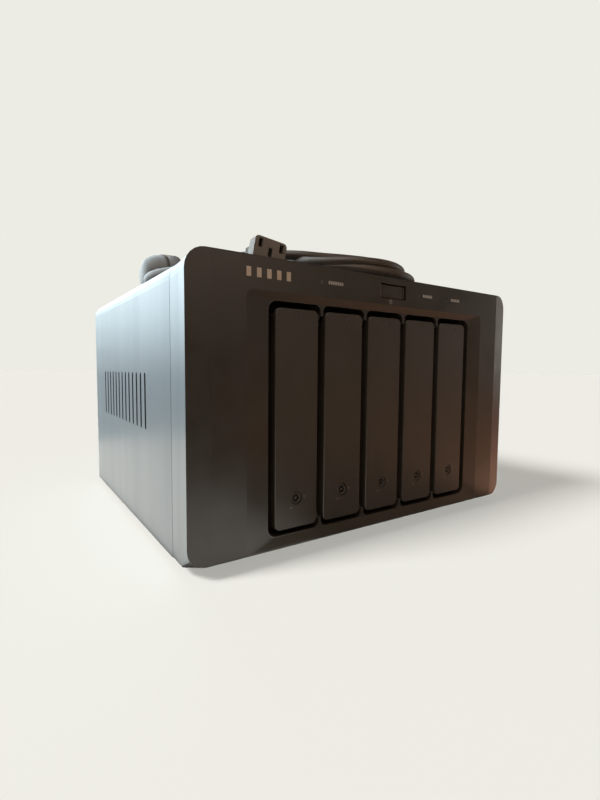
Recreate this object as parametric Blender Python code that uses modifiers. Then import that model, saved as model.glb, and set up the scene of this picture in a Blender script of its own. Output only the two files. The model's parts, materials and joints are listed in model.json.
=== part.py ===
"""A five-bay desktop storage enclosure with its mains lead coiled on the lid.

Axes: +X to the right as seen from the front, +Y from the front to the rear, +Z up.
The origin is on the floor under the middle of the case. Depths are measured back from the front face.
"""

import math

import bmesh
import bpy
from mathutils import Matrix, Vector

MM = 0.001

# Overall size of the case.
CASE_WIDTH = 248 * MM
CASE_DEPTH = 233 * MM
CASE_HEIGHT = 157 * MM
FRONT_Y = -CASE_DEPTH / 2

# Front bezel. Its face stops short of the underside of the case.
BEZEL_DEPTH = 27 * MM
BEZEL_FLOOR = 7 * MM
BEZEL_CORNER = 10 * MM
BEZEL_WALL = 2.5 * MM
BEZEL_SKIN = 3.5 * MM
BEZEL_EDGE = 0.8 * MM
BEZEL_FLARE = 12 * MM
FACET_START = 112 * MM
FACET_DEPTH = 1.5 * MM
WELL_DEPTH = 14 * MM

# Sheet-metal body behind the bezel.
BODY_HALF = 122.25 * MM
BODY_FLOOR = 4 * MM
BODY_TOP = 155.4 * MM
BODY_CORNER = 10 * MM
SHEET = 1.0 * MM
SEAM = 0.4 * MM
GAP = 0.3 * MM
REAR_FACE = 231.5 * MM

# Bays and trays.
BAY_COUNT = 5
BAY_PITCH = 31.6 * MM
BAY_EDGE = 80.8 * MM
BAY_LOW = 13.8 * MM
BAY_HIGH = 136.2 * MM
RIB = 1.8 * MM
RIB_RECESS = 7 * MM
FUNNEL_DEPTH = 1.2 * MM
FUNNEL_HALF = 104 * MM
FUNNEL_HIGH = 143.6 * MM

HANDLE_HALF = 13.4 * MM
HANDLE_LOW = 16.5 * MM
HANDLE_HIGH = 133 * MM
HANDLE_FACE = 1.0 * MM
HANDLE_BACK = 9 * MM
HANDLE_SKIN = 2.2 * MM
HANDLE_WALL = 1.8 * MM
HANDLE_CORNER = 3 * MM
PIVOT_DEPTH = 6.2 * MM
PIVOT_Z = 127 * MM
PIVOT_PIN = 1.5 * MM
PIVOT_HOLE = 1.8 * MM
EAR_RADIUS = 2.5 * MM

SLED_HALF = 14.25 * MM
SLED_WALL = 1.4 * MM
SLED_LOW = 20 * MM
SLED_HIGH = 131 * MM
DISK_LOW = 24.5 * MM
DISK_HIGH = 126.5 * MM
SLED_FRONT = 12.5 * MM
SLED_PLATE = 2.5 * MM
SLED_END = 165 * MM

LOCK_Z = 32.6 * MM
LOCK_RADIUS = 3.2 * MM
LOCK_BORE = 3.6 * MM
LOCK_BOSS = 5.6 * MM
TRAY_LIGHT_Z = 129.3 * MM
TRAY_LIGHT_SHIFT = 2.4 * MM
TRAY_LIGHT_RADIUS = 0.7 * MM

# Controls in the band above the bays.
CONTROL_Z = 148.6 * MM
BUTTON_X = 5.5 * MM
BUTTON_HALF = 10.2 * MM
BUTTON_RISE = 3.8 * MM
BUTTON_CLEAR = 0.5 * MM
LIGHTS = {"status_light": -48.4 * MM, "alert_light": 28.9 * MM, "link_light": 55.1 * MM}
LIGHT_RADIUS = 0.9 * MM

# Drive cage, backplane, fans and power supply.
CAGE_HALF = 82 * MM
CAGE_LOW = 14 * MM
CAGE_HIGH = 137.5 * MM
CAGE_FRONT = 15 * MM
CAGE_END = 172 * MM
CAGE_WALL = 1.2 * MM
BACKPLANE_FRONT = 172.5 * MM
BOARD = 1.6 * MM
FAN_SIDE = 80 * MM
FAN_DEPTH = 25 * MM
FAN_BORE = 38 * MM
FAN_Z = 76 * MM
FAN_X = 41 * MM
FAN_HOLES = 35.75 * MM
PSU_LEFT = 82.4 * MM
PSU_RIGHT = 119.6 * MM
PSU_LOW = 8 * MM
PSU_HIGH = 90 * MM
PSU_FRONT = 81 * MM
PSU_REAR = 230.6 * MM
PSU_NOSE = 12 * MM
PSU_FAN_Z = 68 * MM
PSU_FAN_BORE = 17.2 * MM
PSU_X = (PSU_LEFT + PSU_RIGHT) / 2
INLET_Z = 27 * MM
PORT_X = -104 * MM
PORT_Z = 40 * MM

# Mains lead: a round three-core cord with a moulded plug and an appliance connector, lying on the lid.
CORD_DIAMETER = 6.4 * MM
CORD_RADIUS = CORD_DIAMETER / 2
LID = BODY_TOP
COIL_CENTRE = (20 * MM, -52 * MM)
COIL_RADIUS = 38 * MM
COIL_HALF_WIDTH = 6.9 * MM
COIL_HALF_HEIGHT = 9.6 * MM
CONNECTOR_AT = Vector((-58 * MM, -78 * MM, LID + 16 * MM))
CONNECTOR_TURN = -5
CONNECTOR_ROLL = 10
CONNECTOR_HALF = (10.4 * MM, 7 * MM)
CONNECTOR_NOSE = 9 * MM
CONNECTOR_BODY = 26 * MM
CONNECTOR_TAIL = 22 * MM
PLUG_RADIUS = 17.2 * MM
PLUG_AT = Vector((-73 * MM, 46 * MM, LID + PLUG_RADIUS + 0.5 * MM))
PLUG_TILT = 10
PLUG_TAIL = 33 * MM
# Free stretches of the cord in millimetres: from the connector to the coil, and from the plug to the coil.
TO_CONNECTOR = [
    (-53.8, -11.0, 169.4),
    (-60.2, 2.4, 165.0),
    (-72.6, 11.6, 161.4),
    (-88.5, 12.2, 159.0),
    (-102.2, 4.0, 158.9),
    (-110.2, -9.5, 158.9),
    (-111.8, -25.0, 158.9),
    (-107.5, -40.0, 158.9),
    (-98.5, -53.0, 158.9),
    (-85.5, -61.5, 158.9),
    (-70.0, -65.0, 158.9),
    (-54.5, -62.0, 158.9),
    (-36.4, -49.4, 158.9),
]
TO_PLUG = [
    (-90.6, -3.0, 166.0),
    (-87.0, -12.6, 167.2),
    (-79.9, -20.2, 169.6),
    (-70.6, -24.6, 172.9),
    (-61.0, -26.2, 175.9),
    (-52.0, -27.6, 178.8),
    (-43.4, -31.4, 180.1),
    (-36.0, -38.2, 180.1),
    (-29.4, -46.8, 179.5),
    (-20.0, -56.0, 178.5),
]


def depth(value):
    """The Y of something this far behind the front face."""
    return FRONT_Y + value


def clear_scene():
    for old in list(bpy.data.objects):
        bpy.data.objects.remove(old, do_unlink=True)


def make_collection(name):
    made = bpy.data.collections.new(name)
    bpy.context.scene.collection.children.link(made)
    return made


def make_material(name, colour, roughness, metallic=0.0):
    made = bpy.data.materials.new(name)
    made.use_nodes = True
    shader = made.node_tree.nodes["Principled BSDF"]
    shader.inputs["Base Color"].default_value = (*colour, 1)
    shader.inputs["Roughness"].default_value = roughness
    shader.inputs["Metallic"].default_value = metallic
    return made


clear_scene()
PARTS = make_collection("storage_enclosure")
CUTTERS = make_collection("cutters")
MATERIALS = {
    "bezel": make_material("bezel", (0.035, 0.026, 0.018), 0.38),
    "cover": make_material("cover", (0.05, 0.058, 0.066), 0.32, 0.6),
    "steel": make_material("steel", (0.42, 0.43, 0.44), 0.4, 0.9),
    "tray": make_material("tray", (0.012, 0.012, 0.012), 0.5),
    "handle": make_material("handle", (0.036, 0.027, 0.018), 0.42),
    "lock": make_material("lock", (0.02, 0.018, 0.016), 0.35, 0.4),
    "light": make_material("light", (0.35, 0.32, 0.26), 0.25),
    "button": make_material("button", (0.05, 0.038, 0.027), 0.3),
    "board": make_material("board", (0.01, 0.09, 0.03), 0.5),
    "fan": make_material("fan", (0.012, 0.012, 0.013), 0.5),
    "guard": make_material("guard", (0.03, 0.03, 0.032), 0.35, 0.7),
    "rubber": make_material("rubber", (0.015, 0.015, 0.015), 0.85),
    "socket": make_material("socket", (0.012, 0.012, 0.012), 0.45),
    "cord": make_material("cord", (0.03, 0.024, 0.02), 0.45),
}


def add_object(name, data, material, collection=PARTS):
    made = bpy.data.objects.new(name, data)
    collection.objects.link(made)
    if material:
        data.materials.append(MATERIALS[material])
    return made


def place(obj, anchor):
    """Moves the object's origin to a point without moving its shape."""
    obj.data.transform(Matrix.Translation(obj.location - Vector(anchor)))
    obj.location = anchor
    return obj


def as_helper(obj):
    """Puts an object among the cutters, where it is no part of the model."""
    for held in list(obj.users_collection):
        held.objects.unlink(obj)
    CUTTERS.objects.link(obj)
    obj.hide_render = True
    obj.display_type = "WIRE"
    return obj


def change(obj, other, operation):
    """Cuts another object from this one, or joins it on."""
    as_helper(other)
    step = obj.modifiers.new(other.name, "BOOLEAN")
    step.object = other
    step.operation = operation
    step.solver = "EXACT"
    return obj


def cut(obj, *others):
    for other in others:
        change(obj, other, "DIFFERENCE")
    return obj


def join(obj, *others):
    for other in others:
        change(obj, other, "UNION")
    return obj


def soften(obj, width, segments=2, angle=30):
    step = obj.modifiers.new("edges", "BEVEL")
    step.width = width
    step.segments = segments
    step.limit_method = "ANGLE"
    step.angle_limit = math.radians(angle)
    return obj


def smooth(obj, angle=35):
    obj.data.shade_smooth()
    obj.data.set_sharp_from_angle(angle=math.radians(angle))
    return obj


def box(name, low, high, material=None):
    """A box between two corners, given as (x, depth behind the front face, z)."""
    low = Vector((low[0], depth(low[1]), low[2]))
    high = Vector((high[0], depth(high[1]), high[2]))
    size = high - low
    bm = bmesh.new()
    bmesh.ops.create_cube(bm, size=1)
    bmesh.ops.scale(bm, vec=size, verts=bm.verts)
    mesh = bpy.data.meshes.new(name)
    bm.to_mesh(mesh)
    bm.free()
    made = add_object(name, mesh, material)
    made.location = (low + high) / 2
    return made


AXIS_TURN = {
    "X": Matrix.Rotation(math.radians(90), 4, "Y"),
    "Y": Matrix.Rotation(math.radians(-90), 4, "X"),
    "Z": Matrix.Identity(4),
}


def rod(name, centre, radius, length, axis="Y", material=None, sides=16, end_radius=None, caps=True):
    """A cylinder or cone whose middle is at centre, given as (x, depth, z). end_radius is at its + end."""
    bm = bmesh.new()
    bmesh.ops.create_cone(
        bm,
        cap_ends=caps,
        segments=sides,
        radius1=radius,
        radius2=radius if end_radius is None else end_radius,
        depth=length,
    )
    bmesh.ops.transform(bm, matrix=AXIS_TURN[axis], verts=bm.verts)
    mesh = bpy.data.meshes.new(name)
    bm.to_mesh(mesh)
    bm.free()
    made = add_object(name, mesh, material)
    made.location = (centre[0], depth(centre[1]), centre[2])
    return smooth(made)


def rounded_outline(left, right, low, high, radii, steps=5):
    """Points round a rectangle with round corners. radii run top right, top left, low left, low right."""
    corners = ((right, high, -1, -1), (left, high, 1, -1), (left, low, 1, 1), (right, low, -1, 1))
    points = []
    for turn, ((x, z, inward_x, inward_z), radius) in enumerate(zip(corners, radii, strict=True)):
        for step in range(steps + 1):
            angle = math.radians(90 * (turn + step / steps))
            points.append(
                (
                    x + inward_x * radius + radius * math.cos(angle),
                    z + inward_z * radius + radius * math.sin(angle),
                )
            )
    return points


def flat_solid(name, outlines, start, end, material=None):
    """A plate in the XZ plane from one depth to another. Outlines after the first are holes."""
    curve = bpy.data.curves.new(name, "CURVE")
    curve.dimensions = "2D"
    curve.fill_mode = "BOTH"
    curve.extrude = (end - start) / 2
    for outline in outlines:
        spline = curve.splines.new("POLY")
        spline.points.add(len(outline) - 1)
        for point, (x, z) in zip(spline.points, outline, strict=True):
            point.co = (x, z, 0, 1)
        spline.use_cyclic_u = True
    drawn = bpy.data.objects.new(name + "_outline", curve)
    PARTS.objects.link(drawn)
    bpy.context.view_layer.update()
    graph = bpy.context.evaluated_depsgraph_get()
    mesh = bpy.data.meshes.new_from_object(drawn.evaluated_get(graph))
    bpy.data.objects.remove(drawn)
    bm = bmesh.new()
    bm.from_mesh(mesh)
    bmesh.ops.remove_doubles(bm, verts=bm.verts, dist=0.00001)
    bmesh.ops.transform(bm, matrix=Matrix.Rotation(math.radians(90), 4, "X"), verts=bm.verts)
    bmesh.ops.recalc_face_normals(bm, faces=bm.faces)
    bm.to_mesh(mesh)
    bm.free()
    mesh.materials.clear()
    made = add_object(name, mesh, material)
    made.location = (0, depth((start + end) / 2), 0)
    return made


def loft(name, sections, material=None):
    """A closed skin through outlines in the XZ plane, each given as (depth, points), front to back."""
    bm = bmesh.new()
    rings = []
    for back, outline in sections:
        rings.append([bm.verts.new((x, depth(back), z)) for x, z in outline])
    count = len(rings[0])
    for front_ring, back_ring in zip(rings, rings[1:]):
        for i in range(count):
            j = (i + 1) % count
            bm.faces.new((front_ring[i], front_ring[j], back_ring[j], back_ring[i]))
    bm.faces.new(list(reversed(rings[0])))
    bm.faces.new(rings[-1])
    bmesh.ops.recalc_face_normals(bm, faces=bm.faces)
    mesh = bpy.data.meshes.new(name)
    bm.to_mesh(mesh)
    bm.free()
    return add_object(name, mesh, material)


def merged(name, pieces):
    """One helper mesh out of several that don't touch, for a single cut."""
    bm = bmesh.new()
    for piece in pieces:
        part = piece.data.copy()
        part.transform(Matrix.Translation(piece.location) @ piece.rotation_euler.to_matrix().to_4x4())
        bm.from_mesh(part)
        bpy.data.objects.remove(piece)
    mesh = bpy.data.meshes.new(name)
    bm.to_mesh(mesh)
    bm.free()
    return add_object(name, mesh, None)


def bay_centres():
    middle = (BAY_COUNT - 1) / 2
    return [(i - middle) * BAY_PITCH for i in range(BAY_COUNT)]


# Front bezel


def bezel_section(inset, low, low_radius, top_radius, half, high, steps=6):
    return rounded_outline(
        -half + inset,
        half - inset,
        low + inset,
        high - inset,
        (top_radius, top_radius, low_radius, low_radius),
        steps,
    )


def well_outlines():
    """The rounded openings of the bays. The end bays have a wider gap outside their trays."""
    outlines = []
    for i, centre in enumerate(bay_centres()):
        left = -BAY_EDGE if i == 0 else centre - BAY_PITCH / 2 + RIB / 2
        right = BAY_EDGE if i == BAY_COUNT - 1 else centre + BAY_PITCH / 2 - RIB / 2
        left_radius = 5 * MM if i == 0 else 3.4 * MM
        right_radius = 5 * MM if i == BAY_COUNT - 1 else 3.4 * MM
        radii = (right_radius, left_radius, left_radius, right_radius)
        outlines.append(rounded_outline(left, right, BAY_LOW, BAY_HIGH, radii, 4))
    return outlines


def facet_cutter():
    """Slopes the outer strip of the front back towards each side."""
    fall = FACET_DEPTH / (CASE_WIDTH / 2 - FACET_START)
    pieces = []
    for hand in (-1, 1):
        wedge = box(f"facet_{hand}", (-20 * MM, -10 * MM, -MM), (20 * MM, 0, CASE_HEIGHT + MM))
        slope = Matrix.Rotation(hand * math.atan(fall), 4, "Z")
        wedge.data.transform(slope @ Matrix.Translation((0, -5 * MM, 0)))
        wedge.location = (hand * (FACET_START + 20 * MM), depth(20 * MM * fall), wedge.location.z)
        pieces.append(wedge)
    return merged("bezel_facets", pieces)


def build_bezel():
    half = CASE_WIDTH / 2
    corner = BEZEL_CORNER
    face_corner = corner - BEZEL_EDGE
    sections = [
        (0, bezel_section(BEZEL_EDGE, BEZEL_FLOOR, face_corner, face_corner, half, CASE_HEIGHT)),
        (BEZEL_EDGE, bezel_section(0, BEZEL_FLOOR, corner, corner, half, CASE_HEIGHT)),
        (
            BEZEL_FLARE,
            bezel_section(0, BODY_FLOOR + 0.6 * MM, 1.5 * MM, corner, half - MM, CASE_HEIGHT - 0.9 * MM),
        ),
        (BEZEL_DEPTH, bezel_section(0, BODY_FLOOR, 1.0 * MM, BODY_CORNER, BODY_HALF, BODY_TOP)),
    ]
    bezel = smooth(loft("front_bezel", sections, "bezel"), 30)
    wide, narrow = FUNNEL_HALF, BAY_EDGE + GAP
    mouth = rounded_outline(-wide, wide, 4 * MM, FUNNEL_HIGH, [3 * MM] * 4, 3)
    throat = rounded_outline(-narrow, narrow, BAY_LOW - GAP, BAY_HIGH + GAP, [4 * MM] * 4, 3)
    funnel = loft("bezel_funnel", [(-1 * MM, mouth), (FUNNEL_DEPTH, throat)])
    wells = merged(
        "bezel_wells",
        [
            flat_solid(f"well_{i}", [outline], -2 * MM, BEZEL_DEPTH + MM)
            for i, outline in enumerate(well_outlines())
        ],
    )
    rib_front = box(
        "bezel_rib_front",
        (-BAY_PITCH * 2, -2 * MM, BAY_LOW + 5 * MM),
        (BAY_PITCH * 2, RIB_RECESS, BAY_HIGH - 5 * MM),
    )
    soften(rib_front, 4.0 * MM, 1)
    inner = BODY_HALF - BEZEL_WALL
    side_in = BAY_EDGE + 3 * MM
    ceiling = BODY_TOP - BEZEL_WALL
    band_half = inner - 9 * MM
    rear = BEZEL_DEPTH + MM
    cavity = merged(
        "bezel_cavity",
        [
            box("cavity_left", (-inner, BEZEL_SKIN, 15 * MM), (-side_in, WELL_DEPTH + MM, ceiling - 8 * MM)),
            box("cavity_right", (side_in, BEZEL_SKIN, 15 * MM), (inner, WELL_DEPTH + MM, ceiling - 8 * MM)),
        ],
    )
    band = box("cavity_band", (-band_half, BEZEL_SKIN, BAY_HIGH + 3 * MM), (band_half, rear, ceiling))
    back = box("cavity_back", (-inner, WELL_DEPTH, BODY_FLOOR + 2 * MM), (inner, rear, ceiling - 7 * MM))
    cut(bezel, funnel, facet_cutter(), wells, rib_front, cavity, band, back)
    button_slot = box(
        "bezel_button_slot",
        (BUTTON_X - BUTTON_HALF - BUTTON_CLEAR, -1 * MM, CONTROL_Z - BUTTON_RISE - BUTTON_CLEAR),
        (BUTTON_X + BUTTON_HALF + BUTTON_CLEAR, BEZEL_SKIN + MM, CONTROL_Z + BUTTON_RISE + BUTTON_CLEAR),
    )
    light_holes = merged(
        "bezel_light_holes",
        [
            rod(f"light_hole_{name}", (x, 1.5 * MM, CONTROL_Z), LIGHT_RADIUS + 0.25 * MM, 6 * MM, sides=12)
            for name, x in LIGHTS.items()
        ],
    )
    return cut(bezel, button_slot, light_holes)


def build_controls():
    """The power button, the three light pipes and the small board that carries them."""
    button = box(
        "power_button",
        (BUTTON_X - BUTTON_HALF, 0.6 * MM, CONTROL_Z - BUTTON_RISE),
        (BUTTON_X + BUTTON_HALF, 5.2 * MM, CONTROL_Z + BUTTON_RISE),
        "button",
    )
    soften(button, 0.5 * MM)
    for name, x in LIGHTS.items():
        rod(name, (x, 4.3 * MM, CONTROL_Z), LIGHT_RADIUS, 8.4 * MM, material="light", sides=12)
    box("led_board", (-58 * MM, 9 * MM, 141.5 * MM), (72 * MM, 9 * MM + BOARD, 151.5 * MM), "board")


# Sheet-metal case


def channel_outline(half, low, high, corner, wall):
    """An upside-down U with round upper corners, open below."""

    def arch(inset):
        round_corner = corner - inset
        radii = (round_corner, round_corner, 0, 0)
        points = rounded_outline(-half + inset, half - inset, low, high - inset, radii, 6)
        return [(x, z) for x, z in points if z > low + 0.5 * MM]

    outer, inner = arch(0), arch(wall)
    left_foot = [(-half, low), (-half + wall, low)]
    right_foot = [(half - wall, low), (half, low)]
    return outer + left_foot + list(reversed(inner)) + right_foot


VENT_COUNT = 13
VENT_PITCH = 9.8 * MM
VENT_MIDDLE = 134 * MM
VENT_Z = 82 * MM
VENT_WIDTH = 3.2 * MM
VENT_HEIGHT = 34 * MM


def build_cover():
    outline = channel_outline(BODY_HALF, BODY_FLOOR, BODY_TOP, BODY_CORNER, SHEET)
    cover = flat_solid("top_cover", [outline], BEZEL_DEPTH + SEAM, REAR_FACE, "cover")
    slots = []
    for i in range(VENT_COUNT):
        along = VENT_MIDDLE + (i - (VENT_COUNT - 1) / 2) * VENT_PITCH
        low, high = VENT_Z - VENT_HEIGHT / 2, VENT_Z + VENT_HEIGHT / 2
        slot = box(
            f"vent_{i}",
            (-BODY_HALF - 5 * MM, along - VENT_WIDTH / 2, low),
            (BODY_HALF + 5 * MM, along + VENT_WIDTH / 2, high),
        )
        bm = bmesh.new()
        bm.from_mesh(slot.data)
        ends = [e for e in bm.edges if abs((e.verts[0].co - e.verts[1].co).x) > CASE_WIDTH / 2]
        bmesh.ops.bevel(bm, geom=ends, offset=VENT_WIDTH * 0.46, segments=2, affect="EDGES", profile=0.5)
        bm.to_mesh(slot.data)
        bm.free()
        slots.append(slot)
    cut(cover, merged("cover_vents", slots))
    return smooth(cover)


def build_base():
    half = BODY_HALF - SHEET - GAP
    low = BODY_FLOOR
    lip = low + 12 * MM
    outline = [
        (-half, low),
        (half, low),
        (half, lip),
        (half - SHEET, lip),
        (half - SHEET, low + SHEET),
        (-half + SHEET, low + SHEET),
        (-half + SHEET, lip),
        (-half, lip),
    ]
    return flat_solid("base_pan", [outline], BEZEL_DEPTH + SEAM, REAR_FACE - SHEET - GAP, "steel")


def circle(x, z, radius, sides):
    return [
        (x + radius * math.cos(2 * math.pi * i / sides), z + radius * math.sin(2 * math.pi * i / sides))
        for i in range(sides)
    ]


def rectangle(x, z, half_x, half_z):
    corners = ((-1, -1), (1, -1), (1, 1), (-1, 1))
    return [(x + right * half_x, z + up * half_z) for right, up in corners]


def build_rear_panel():
    half = BODY_HALF - SHEET - GAP
    outer = rounded_outline(
        -half, half, BODY_FLOOR + GAP, BODY_TOP - SHEET - GAP, (9 * MM, 9 * MM, 0.5 * MM, 0.5 * MM), 5
    )
    holes = [circle(side * FAN_X, FAN_Z, FAN_BORE, 32) for side in (-1, 1)]
    holes.append(rectangle(PSU_X, INLET_Z, 14.4 * MM, 10.9 * MM))
    holes.append(rectangle(PORT_X, PORT_Z, 3.4 * MM, 8.2 * MM))
    holes.append(rectangle(PORT_X, 140 * MM, 1.5 * MM, 3.5 * MM))
    for row in range(-3, 4):
        z = PSU_FAN_Z + row * 4.6 * MM
        reach = math.sqrt((17 * MM) ** 2 - (row * 4.6 * MM) ** 2)
        holes.append(rectangle(PSU_X, z, reach, 1.2 * MM))
    return flat_solid("rear_panel", [outer, *holes], REAR_FACE - SHEET, REAR_FACE, "cover")


def build_feet():
    for front, side, x, back in (
        ("front", "left", -98, 48),
        ("front", "right", 98, 48),
        ("rear", "left", -98, 206),
        ("rear", "right", 98, 206),
    ):
        top = BODY_FLOOR - GAP
        foot = rod(
            f"foot_{front}_{side}",
            (x * MM, back * MM, top / 2),
            8.5 * MM,
            top,
            "Z",
            "rubber",
            sides=20,
            end_radius=9.5 * MM,
        )
        soften(foot, 0.8 * MM, 1)


# Trays


def hinge_point(x):
    """A point on the axis that a handle and its light pipe turn about."""
    return (x, depth(PIVOT_DEPTH), PIVOT_Z)


def build_handle(number, x):
    """The tray's front: a hollow moulding that swings out on two stub pins."""
    left, right = x - HANDLE_HALF, x + HANDLE_HALF
    outline = rounded_outline(left, right, HANDLE_LOW, HANDLE_HIGH, [HANDLE_CORNER] * 4, 3)
    handle = flat_solid(f"tray_handle_{number}", [outline], HANDLE_FACE, HANDLE_BACK, "handle")
    soften(handle, 0.6 * MM, 1, 60)
    inner = HANDLE_HALF - HANDLE_WALL
    hollow = box(
        f"handle_hollow_{number}",
        (x - inner, HANDLE_FACE + HANDLE_SKIN, HANDLE_LOW + 2 * MM),
        (x + inner, HANDLE_BACK + MM, HANDLE_HIGH - 2 * MM),
    )
    boss = rod(
        f"handle_boss_{number}",
        (x, (HANDLE_FACE + HANDLE_BACK) / 2 + 0.6 * MM, LOCK_Z),
        LOCK_BOSS,
        HANDLE_BACK - HANDLE_FACE - 1.2 * MM,
    )
    bore = rod(f"handle_bore_{number}", (x, 5 * MM, LOCK_Z), LOCK_BORE, 14 * MM)
    lamp = rod(
        f"handle_lamp_{number}",
        (x + TRAY_LIGHT_SHIFT, 1.5 * MM, TRAY_LIGHT_Z),
        TRAY_LIGHT_RADIUS + 0.25 * MM,
        6 * MM,
        sides=10,
    )
    hinge = rod(
        f"handle_hinge_{number}", (x, PIVOT_DEPTH, PIVOT_Z), PIVOT_HOLE, 4 * HANDLE_HALF, "X", sides=12
    )
    swing_room = box(
        f"handle_swing_room_{number}",
        (x - 2 * HANDLE_HALF, PIVOT_DEPTH - 2.1 * MM, PIVOT_Z + 2.9 * MM),
        (x + 2 * HANDLE_HALF, HANDLE_BACK + MM, HANDLE_HIGH + MM),
    )
    cut(handle, hollow, swing_room)
    join(handle, boss)
    cut(handle, bore, lamp, hinge)
    return place(handle, hinge_point(x))


def build_lock(number, x):
    """The key barrel: a short rod with a slot in its face, on the handle's bore."""
    lock = rod(f"tray_lock_{number}", (x, 5.4 * MM, LOCK_Z), LOCK_RADIUS, 7.8 * MM, material="lock", sides=16)
    slot = box(
        f"lock_slot_{number}",
        (x - 0.6 * MM, 0, LOCK_Z - 1.9 * MM),
        (x + 0.6 * MM, 4.5 * MM, LOCK_Z + 1.9 * MM),
    )
    return cut(lock, slot)


def build_tray(number, x):
    """The sled that holds one disk on edge, open to the right, with ears for the handle."""
    tray = box(
        f"tray_{number}",
        (x - SLED_HALF, SLED_FRONT, SLED_LOW),
        (x + SLED_HALF, SLED_FRONT + SLED_PLATE, SLED_HIGH),
        "tray",
    )
    over = 0.4 * MM
    back = SLED_FRONT + SLED_PLATE - over
    left, right = x - SLED_HALF, x + SLED_HALF
    side_low, side_high = SLED_LOW + 0.8 * MM, SLED_HIGH - 0.8 * MM
    side = box(f"tray_side_{number}", (left, back, side_low), (left + SLED_WALL, SLED_END, side_high))
    top = box(f"tray_top_{number}", (left, back, DISK_HIGH), (right, SLED_END, SLED_HIGH))
    low = box(f"tray_low_{number}", (left, back, SLED_LOW), (right, SLED_END, DISK_LOW))
    join(tray, top, low, side)
    for hand in (-1, 1):
        ear = box(
            f"tray_ear_{number}_{hand}",
            (x + hand * 9.8 * MM - MM, PIVOT_DEPTH, PIVOT_Z - EAR_RADIUS),
            (x + hand * 9.8 * MM + MM, SLED_FRONT + over, PIVOT_Z + EAR_RADIUS),
        )
        knuckle = rod(
            f"tray_knuckle_{number}_{hand}",
            (x + hand * 9.8 * MM, PIVOT_DEPTH, PIVOT_Z),
            EAR_RADIUS + 0.02 * MM,
            2.1 * MM,
            "X",
            sides=12,
        )
        pin = rod(
            f"tray_pin_{number}_{hand}",
            (x + hand * 11.2 * MM, PIVOT_DEPTH, PIVOT_Z),
            PIVOT_PIN,
            3.4 * MM,
            "X",
            sides=12,
        )
        join(tray, ear, knuckle, pin)
    window = box(
        f"tray_window_{number}",
        (left - MM, 42 * MM, 42 * MM),
        (left + 3 * MM, 138 * MM, 109 * MM),
    )
    return cut(tray, window)


def build_trays():
    for i, x in enumerate(bay_centres()):
        number = i + 1
        build_tray(number, x)
        build_handle(number, x)
        build_lock(number, x)
        light = rod(
            f"tray_light_{number}",
            (x + TRAY_LIGHT_SHIFT, 2.3 * MM, TRAY_LIGHT_Z),
            TRAY_LIGHT_RADIUS,
            2.3 * MM,
            material="light",
            sides=10,
        )
        place(light, hinge_point(x))


# Inside the case


def build_cage():
    outer = rectangle(0, (CAGE_LOW + CAGE_HIGH) / 2, CAGE_HALF, (CAGE_HIGH - CAGE_LOW) / 2)
    inner = rectangle(
        0, (CAGE_LOW + CAGE_HIGH) / 2, CAGE_HALF - CAGE_WALL, (CAGE_HIGH - CAGE_LOW) / 2 - CAGE_WALL
    )
    flat_solid("drive_cage", [outer, inner], CAGE_FRONT, CAGE_END, "steel")
    plate = 1.8 * MM
    tooth = 0.9 * MM
    reach = 7 * MM
    for name, base, direction in (
        ("guide_comb_top", CAGE_HIGH - CAGE_WALL - GAP, -1),
        ("guide_comb_bottom", CAGE_LOW + CAGE_WALL + GAP, 1),
    ):
        half = CAGE_HALF - CAGE_WALL - GAP
        edge = base + direction * plate
        tip = edge + direction * reach
        outline = [(-half, base), (-half, edge)]
        for gap in range(BAY_COUNT - 1):
            x = (gap - (BAY_COUNT - 2) / 2) * BAY_PITCH
            outline += [(x - tooth, edge), (x - tooth, tip), (x + tooth, tip), (x + tooth, edge)]
        outline += [(half, edge), (half, base)]
        flat_solid(name, [outline], CAGE_FRONT + 5 * MM, CAGE_END - 8 * MM, "tray")


def build_electronics():
    board = flat_solid(
        "backplane_board",
        [
            rectangle(0, 75.5 * MM, 79.5 * MM, 55 * MM),
            *(rectangle(x, 92 * MM, 9 * MM, 26 * MM) for x in bay_centres()),
        ],
        BACKPLANE_FRONT,
        BACKPLANE_FRONT + BOARD,
        "board",
    )
    for i, x in enumerate(bay_centres()):
        shell = box(
            f"drive_socket_{i + 1}",
            (x - 8 * MM, BACKPLANE_FRONT - GAP - 6 * MM, 28 * MM),
            (x - 3 * MM, BACKPLANE_FRONT - GAP, 62 * MM),
            "socket",
        )
        groove = box(
            f"drive_groove_{i + 1}",
            (x - 6.6 * MM, BACKPLANE_FRONT - 8 * MM, 30 * MM),
            (x - 4.4 * MM, BACKPLANE_FRONT - 2 * MM, 60 * MM),
        )
        cut(shell, groove)
    board_x = -99.6 * MM
    box("controller_board", (board_x, 120 * MM, 28 * MM), (board_x + BOARD, 229 * MM, 128 * MM), "board")
    port = box(
        "data_port",
        (PORT_X - 3 * MM, 214 * MM, PORT_Z - 7.8 * MM),
        (PORT_X + 3 * MM, 231.8 * MM, PORT_Z + 7.8 * MM),
        "steel",
    )
    mouth = box(
        "port_mouth",
        (PORT_X - 2.3 * MM, 222 * MM, PORT_Z - 6 * MM),
        (PORT_X + 2.3 * MM, 233 * MM, PORT_Z + 6 * MM),
    )
    tongue = box(
        "port_tongue",
        (PORT_X - 0.6 * MM, 221 * MM, PORT_Z - 4.6 * MM),
        (PORT_X + 0.6 * MM, 230.4 * MM, PORT_Z + 4.6 * MM),
    )
    cut(port, mouth)
    join(port, tongue)
    return board


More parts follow.
